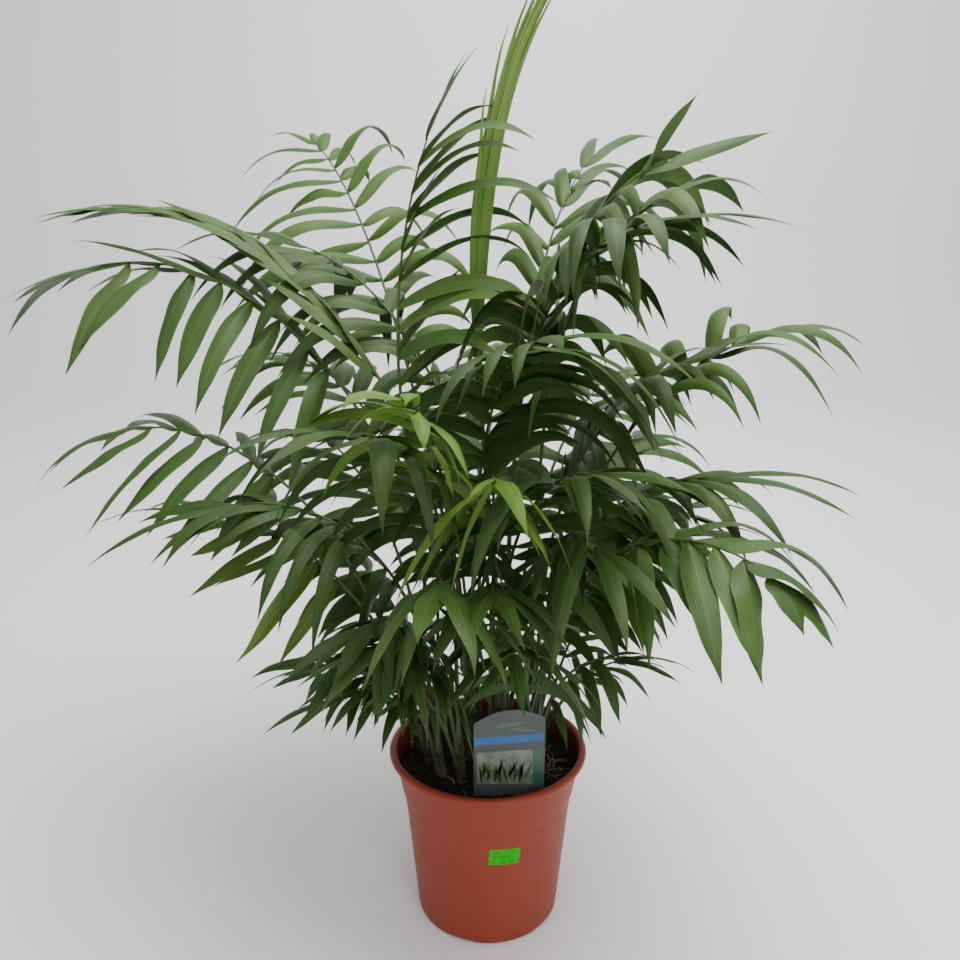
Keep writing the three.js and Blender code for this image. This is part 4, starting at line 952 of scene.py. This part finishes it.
def make_compost():
    """Crumbly surface with loose crumbs and fine pale roots."""
    surface = COMPOST["top"]
    edge = outer_wall(surface) - POT["wall"] - CLEARANCE
    radii = np.concatenate([np.linspace(0.5, edge - 2, 84), [edge - 0.8, edge]])
    angle = full_turn(COMPOST["sides"])
    flat = turned(radii[:, None], angle, 0.0)
    rise = 1.7 * lattice_noise(flat, 22, 5) + 1.1 * lattice_noise(flat, 7.5, 9) \
        + 0.9 * lattice_noise(flat, 3.1, 13) + 0.45 * np.abs(lattice_noise(flat, 1.5, 17))
    fade = smooth(edge, edge - 2.5, radii)[:, None]
    flat[..., 2] = surface + 0.4 + rise * (0.35 + 0.65 * fade) - 2.0 * (1 - fade)
    bottom = POT["floor"] + CLEARANCE
    side = [turned(outer_wall(height) - POT["wall"] - CLEARANCE - corner, angle, height)
            for height, corner in ((110.0, 0), (60.0, 0), (bottom, 1.0))]
    centre, under = (np.broadcast_to(point, (1, *flat.shape[1:]))
                     for point in (flat[0].mean(0), [0, 0, bottom]))
    shape = Shape()
    shape.sheet(np.concatenate([centre, flat, np.array(side), under]), closed=True)
    piece = shape.piece("potting_compost", MATERIALS["compost"])
    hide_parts("compost")

    crumbs = Shape()
    rows = np.array([-0.9, -0.4, 0.35, 0.9])[:, None]
    ball = turned(np.sqrt(1 - rows ** 2), full_turn(6), rows)
    for k in range(COMPOST["crumbs"]):
        place = turned((edge - 3) * math.sqrt(draw(k + 0.1)), 2 * math.pi * draw(k + 0.2),
                       surface + 1.2 + 0.6 * draw(k + 0.4))
        size = COMPOST["crumb"] + COMPOST["crumb_range"] * draw(k + 0.3) ** 3
        bumpy = 1 + 0.35 * (draw(np.arange(24).reshape(4, 6) + 31 * k) - 0.5)
        shares = np.array([1.0, 0.7 + 0.5 * draw(k + 0.6), 0.7])
        crumbs.tubes(ball * bumpy[..., None] * size * shares + place)
    piece = crumbs.piece("compost_crumbs", MATERIALS["crumb"], is_smooth=False)
    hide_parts("compost")

    roots = Shape()
    for k in range(ROOTS["count"]):
        near_right = k < ROOTS["at_right"]
        a = math.radians(-25 + 60 * draw(k + 0.7)) if near_right else 2 * math.pi * draw(k + 0.7)
        point = turned((edge - 14) * (0.62 + 0.38 * draw(k + 0.8)), a, surface + 0.8)
        heading = 360 * draw(k + 0.9)
        line = []
        for step in range(ROOTS["points"]):
            heading += ROOTS["wander"] * (draw(31 * k + step + 0.15) - 0.5)
            line.append(point)
            point = point + level(heading) * (1.0 + 0.8 * draw(k + 0.35))
            if math.hypot(point[0], point[1]) > edge - 3:
                heading += 120
            arch = math.sin(math.pi * step / (ROOTS["points"] - 1)) * ROOTS["arch"]
            point[2] = surface + 0.9 + arch * draw(k + 0.45)
        first = UP + np.array([0.01, 0.02, 0])
        radius = ROOTS["radius"] + ROOTS["radius_range"] * draw(k + 0.55)
        roots.tubes(tube_rings(np.array(line), first, radius, 5))
    piece = roots.piece("fine_roots", MATERIALS["root"])
    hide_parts("compost")


# ---- label and price sticker ----


def card_top(x):
    """Height of the label's arched top at a distance from its middle."""
    t = 0.5 - x / LABEL["width"]
    handle = 2 * LABEL["crown"] - (LABEL["left"] + LABEL["right"]) / 2
    return (1 - t) ** 2 * LABEL["right"] + 2 * t * (1 - t) * handle + t ** 2 * LABEL["left"]


def on_card(x, z, depth):
    return (LABEL["middle"] + x, LABEL["depth"] - depth, z)


def leaf_outline(x, z, length, width, lean):
    """A leaf-shaped outline from its stalk's end at x and z, leaning in degrees from the level."""
    t = np.linspace(0, 1, 12)
    a = math.radians(lean)
    ahead, beside = np.array([math.cos(a), math.sin(a)]), np.array([-math.sin(a), math.cos(a)])
    line = np.array([x, z]) + length * t[:, None] * ahead
    side = beside * (width / 2 * np.sin(np.pi * t ** 0.8))[:, None]
    return np.vstack([line - side, (line + side)[-2:0:-1]])


def make_label():
    """A thin card with an arched top: grey, with a blue band, a pale panel and leaf shapes."""
    half, stake = LABEL["width"] / 2, LABEL["stake"] / 2
    thick = LABEL["thickness"] / 2
    card = Shape()
    xs = np.linspace(-half, half, 33)
    low_back, high_back, high_front, low_front = (
        [on_card(x, card_top(x) if is_top else LABEL["foot"], depth) for x in xs]
        for is_top, depth in ((False, -thick), (True, -thick), (True, thick), (False, thick)))
    rows = np.array([low_back, high_back, high_front, low_front, low_back])
    card.sheet(rows)
    for end in (0, -1):
        card.sheet(rows[[[0, 1], [3, 2]], end])
    outline = [(x, z) for z, ends in ((LABEL["stake_foot"], (-stake, stake)),
                                      (LABEL["foot"] + 1, (stake, -stake))) for x in ends]
    card.prism(outline, -thick * 0.98, thick * 0.98, on_card)
    piece = card.piece("plant_label", MATERIALS["card"], is_smooth=False)
    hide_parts("label")

    inset = half - 0.6
    tilt = inset * 0.085
    ink = 0.06

    def field(left, right, low_left, low_right, high_right, high_left):
        return [(left, low_left), (right, low_right), (right, high_right), (left, high_left)]

    def add(name, material, *outlines, raised=0.0):
        shape = Shape()
        for outline in outlines:
            shape.prism(outline, thick + raised, thick + ink + raised, on_card)
        made = shape.piece(name, MATERIALS[material], is_smooth=False)

    add("label_band", "blue", field(
        -inset, inset, 190.0 - tilt, 190.0 + tilt, 197.0 + tilt, 197.0 - tilt))
    add("label_leaf_motif", "pale_green", leaf_outline(-13, 204.5, 27, 4.0, 10),
        leaf_outline(0, 203.2, 22, 3.2, -4))
    add("label_panel", "panel", field(-inset + 2, inset - 9, 152.0, 152.0, 184.5, 181.0))
    add("label_sprigs", "print_green", *(leaf_outline(
        -inset + 6 + 2.346 * k, 154.5 + 5 * draw(k + 0.21), 12 + 9 * draw(k + 0.11), 2.6,
        60 + 60 * draw(k + 0.33)) for k in range(16)), raised=0.06)
    add("label_sprigs_dark", "print_dark", *(leaf_outline(
        -inset + 6 + 5.2 * k, 153.0, 17, 1.6, 70 + 40 * draw(k + 0.77)) for k in range(7)),
        raised=0.13)
    add("label_edge_stripe", "green", field(inset - 7.5, inset - 2.0, 152.0, 152.0, 186.6, 185.6))


def on_pot(x, z, depth):
    """A point on the pot's wall, x and z millimetres from the sticker's middle."""
    tilt = math.radians(STICKER["tilt"])
    flat_x = x * math.cos(tilt) - z * math.sin(tilt)
    height = STICKER["height"] + x * math.sin(tilt) + z * math.cos(tilt)
    radius = outer_wall(height)
    angle = math.radians(STICKER["heading"]) + flat_x / radius
    return ((radius + depth) * math.cos(angle), (radius + depth) * math.sin(angle), height)


# Numbers on the sticker: the text, where it starts, its size and how much bolder it is.
FIGURES = [("24", -9.0, 3.6, 3.4, 0.0), ("80", 5.6, 3.6, 3.4, 0.0), ("315042", -9.2, -1.4, 4.3, 0.03),
           ("7", -10.0, -6.6, 3.9, 0.0), ("60 28", -3.0, -6.6, 4.3, 0.0)]


def make_sticker():
    """A price sticker with wavy short sides and plain numbers."""
    columns, rows = 27, 15
    z = np.linspace(-0.5, 0.5, rows) * STICKER["tall"]
    half = STICKER["width"] / 2 - 0.55 * np.sin(2 * np.pi * z / STICKER["tall"] * 2.5)
    low, high = (np.array([[on_pot(x, z[i], depth) for x in np.linspace(-half[i], half[i], columns)]
                           for i in range(rows)]) for depth in (0.02, STICKER["lift"]))
    shape = Shape()
    shape.sheet(high)
    shape.sheet(low[:, ::-1])
    for strip in ((low[0], high[0]), (high[-1], low[-1]), (high[:, 0], low[:, 0]),
                  (low[:, -1], high[:, -1])):
        shape.sheet(strip)
    piece = shape.piece("price_sticker", MATERIALS["sticker"], is_smooth=False)

    for k, (text, x, base, size, bold) in enumerate(FIGURES):
        curve = bpy.data.curves.new(f"figures_{k}", "FONT")
        curve.body, curve.size, curve.offset = text, size, bold
        curve.space_character = 1.15
        curve.resolution_u = 3
        flat = add_object(f"figures_{k}", curve)
        mesh = bpy.data.meshes.new_from_object(
            flat.evaluated_get(bpy.context.evaluated_depsgraph_get()))
        bpy.data.objects.remove(flat)
        for vertex in mesh.vertices:
            place = on_pot(x + vertex.co.x, base + vertex.co.y, STICKER["lift"] + 0.05)
            vertex.co = Vector(place) * MM
        mesh.materials.clear()
        mesh.materials.append(MATERIALS["ink"])
        made = add_object(f"sticker_numbers_{k}", mesh)
        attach(made, "root")


# ---- the scene ----


def make_stage():
    """A pale floor that bends up into a pale wall, soft lights and the camera."""
    profile = [(FLOOR["front"], 0.0), (FLOOR["back"], 0.0)]
    for a in np.radians(np.linspace(-90, 0, 17))[1:]:
        profile.append((FLOOR["back"] + FLOOR["bend"] * math.cos(a), FLOOR["bend"] * (1 + math.sin(a))))
    profile.append((FLOOR["back"] + FLOOR["bend"], FLOOR["height"]))
    points = [Vector((x, y, z)) * MM for y, z in profile
              for x in (FLOOR["half_width"], -FLOOR["half_width"])]
    faces = [(2 * k, 2 * k + 1, 2 * k + 3, 2 * k + 2) for k in range(len(profile) - 1)]
    mesh = bpy.data.meshes.new("floor")
    mesh.from_pydata(points, [], faces)
    clouded = tuple(0.985 * c for c in FLOOR["colour"])
    mesh.materials.append(plain_material("floor_paper", FLOOR["colour"], clouded, 0.85, 1.2, 0.2))
    mesh.polygons.foreach_set("use_smooth", [True] * len(faces))
    floor = add_object("floor", mesh)

    world = bpy.data.worlds.new("studio")
    bpy.context.scene.world = world
    world.use_nodes = True
    background = world.node_tree.nodes["Background"]
    background.inputs[0].default_value = (*WORLD["colour"], 1.0)
    background.inputs[1].default_value = WORLD["strength"]
    for name, light in LIGHTS.items():
        data = bpy.data.lights.new(name, "AREA")
        data.size = light["size"] * MM
        data.energy = light["power"]
        data.color = light["colour"]
        lamp = add_object(name, data)
        lamp.location = Vector(light["place"]) * MM
        aim = Vector(light["aim"]) * MM - lamp.location
        lamp.rotation_euler = aim.to_track_quat("-Z", "Y").to_euler()

    data = bpy.data.cameras.new("camera")
    data.lens = CAMERA["lens"]
    data.sensor_width = CAMERA["sensor"]
    data.clip_end = CAMERA["farthest"]
    camera = add_object("camera", data)
    camera.location = Vector(CAMERA["place"]) * MM
    camera.rotation_euler = (math.radians(90 - CAMERA["pitch"]), 0, 0)
    bpy.context.scene.camera = camera


make_pot()
make_compost()
make_label()
make_sticker()
make_canes()
make_fronds()
make_spear()
make_stage()
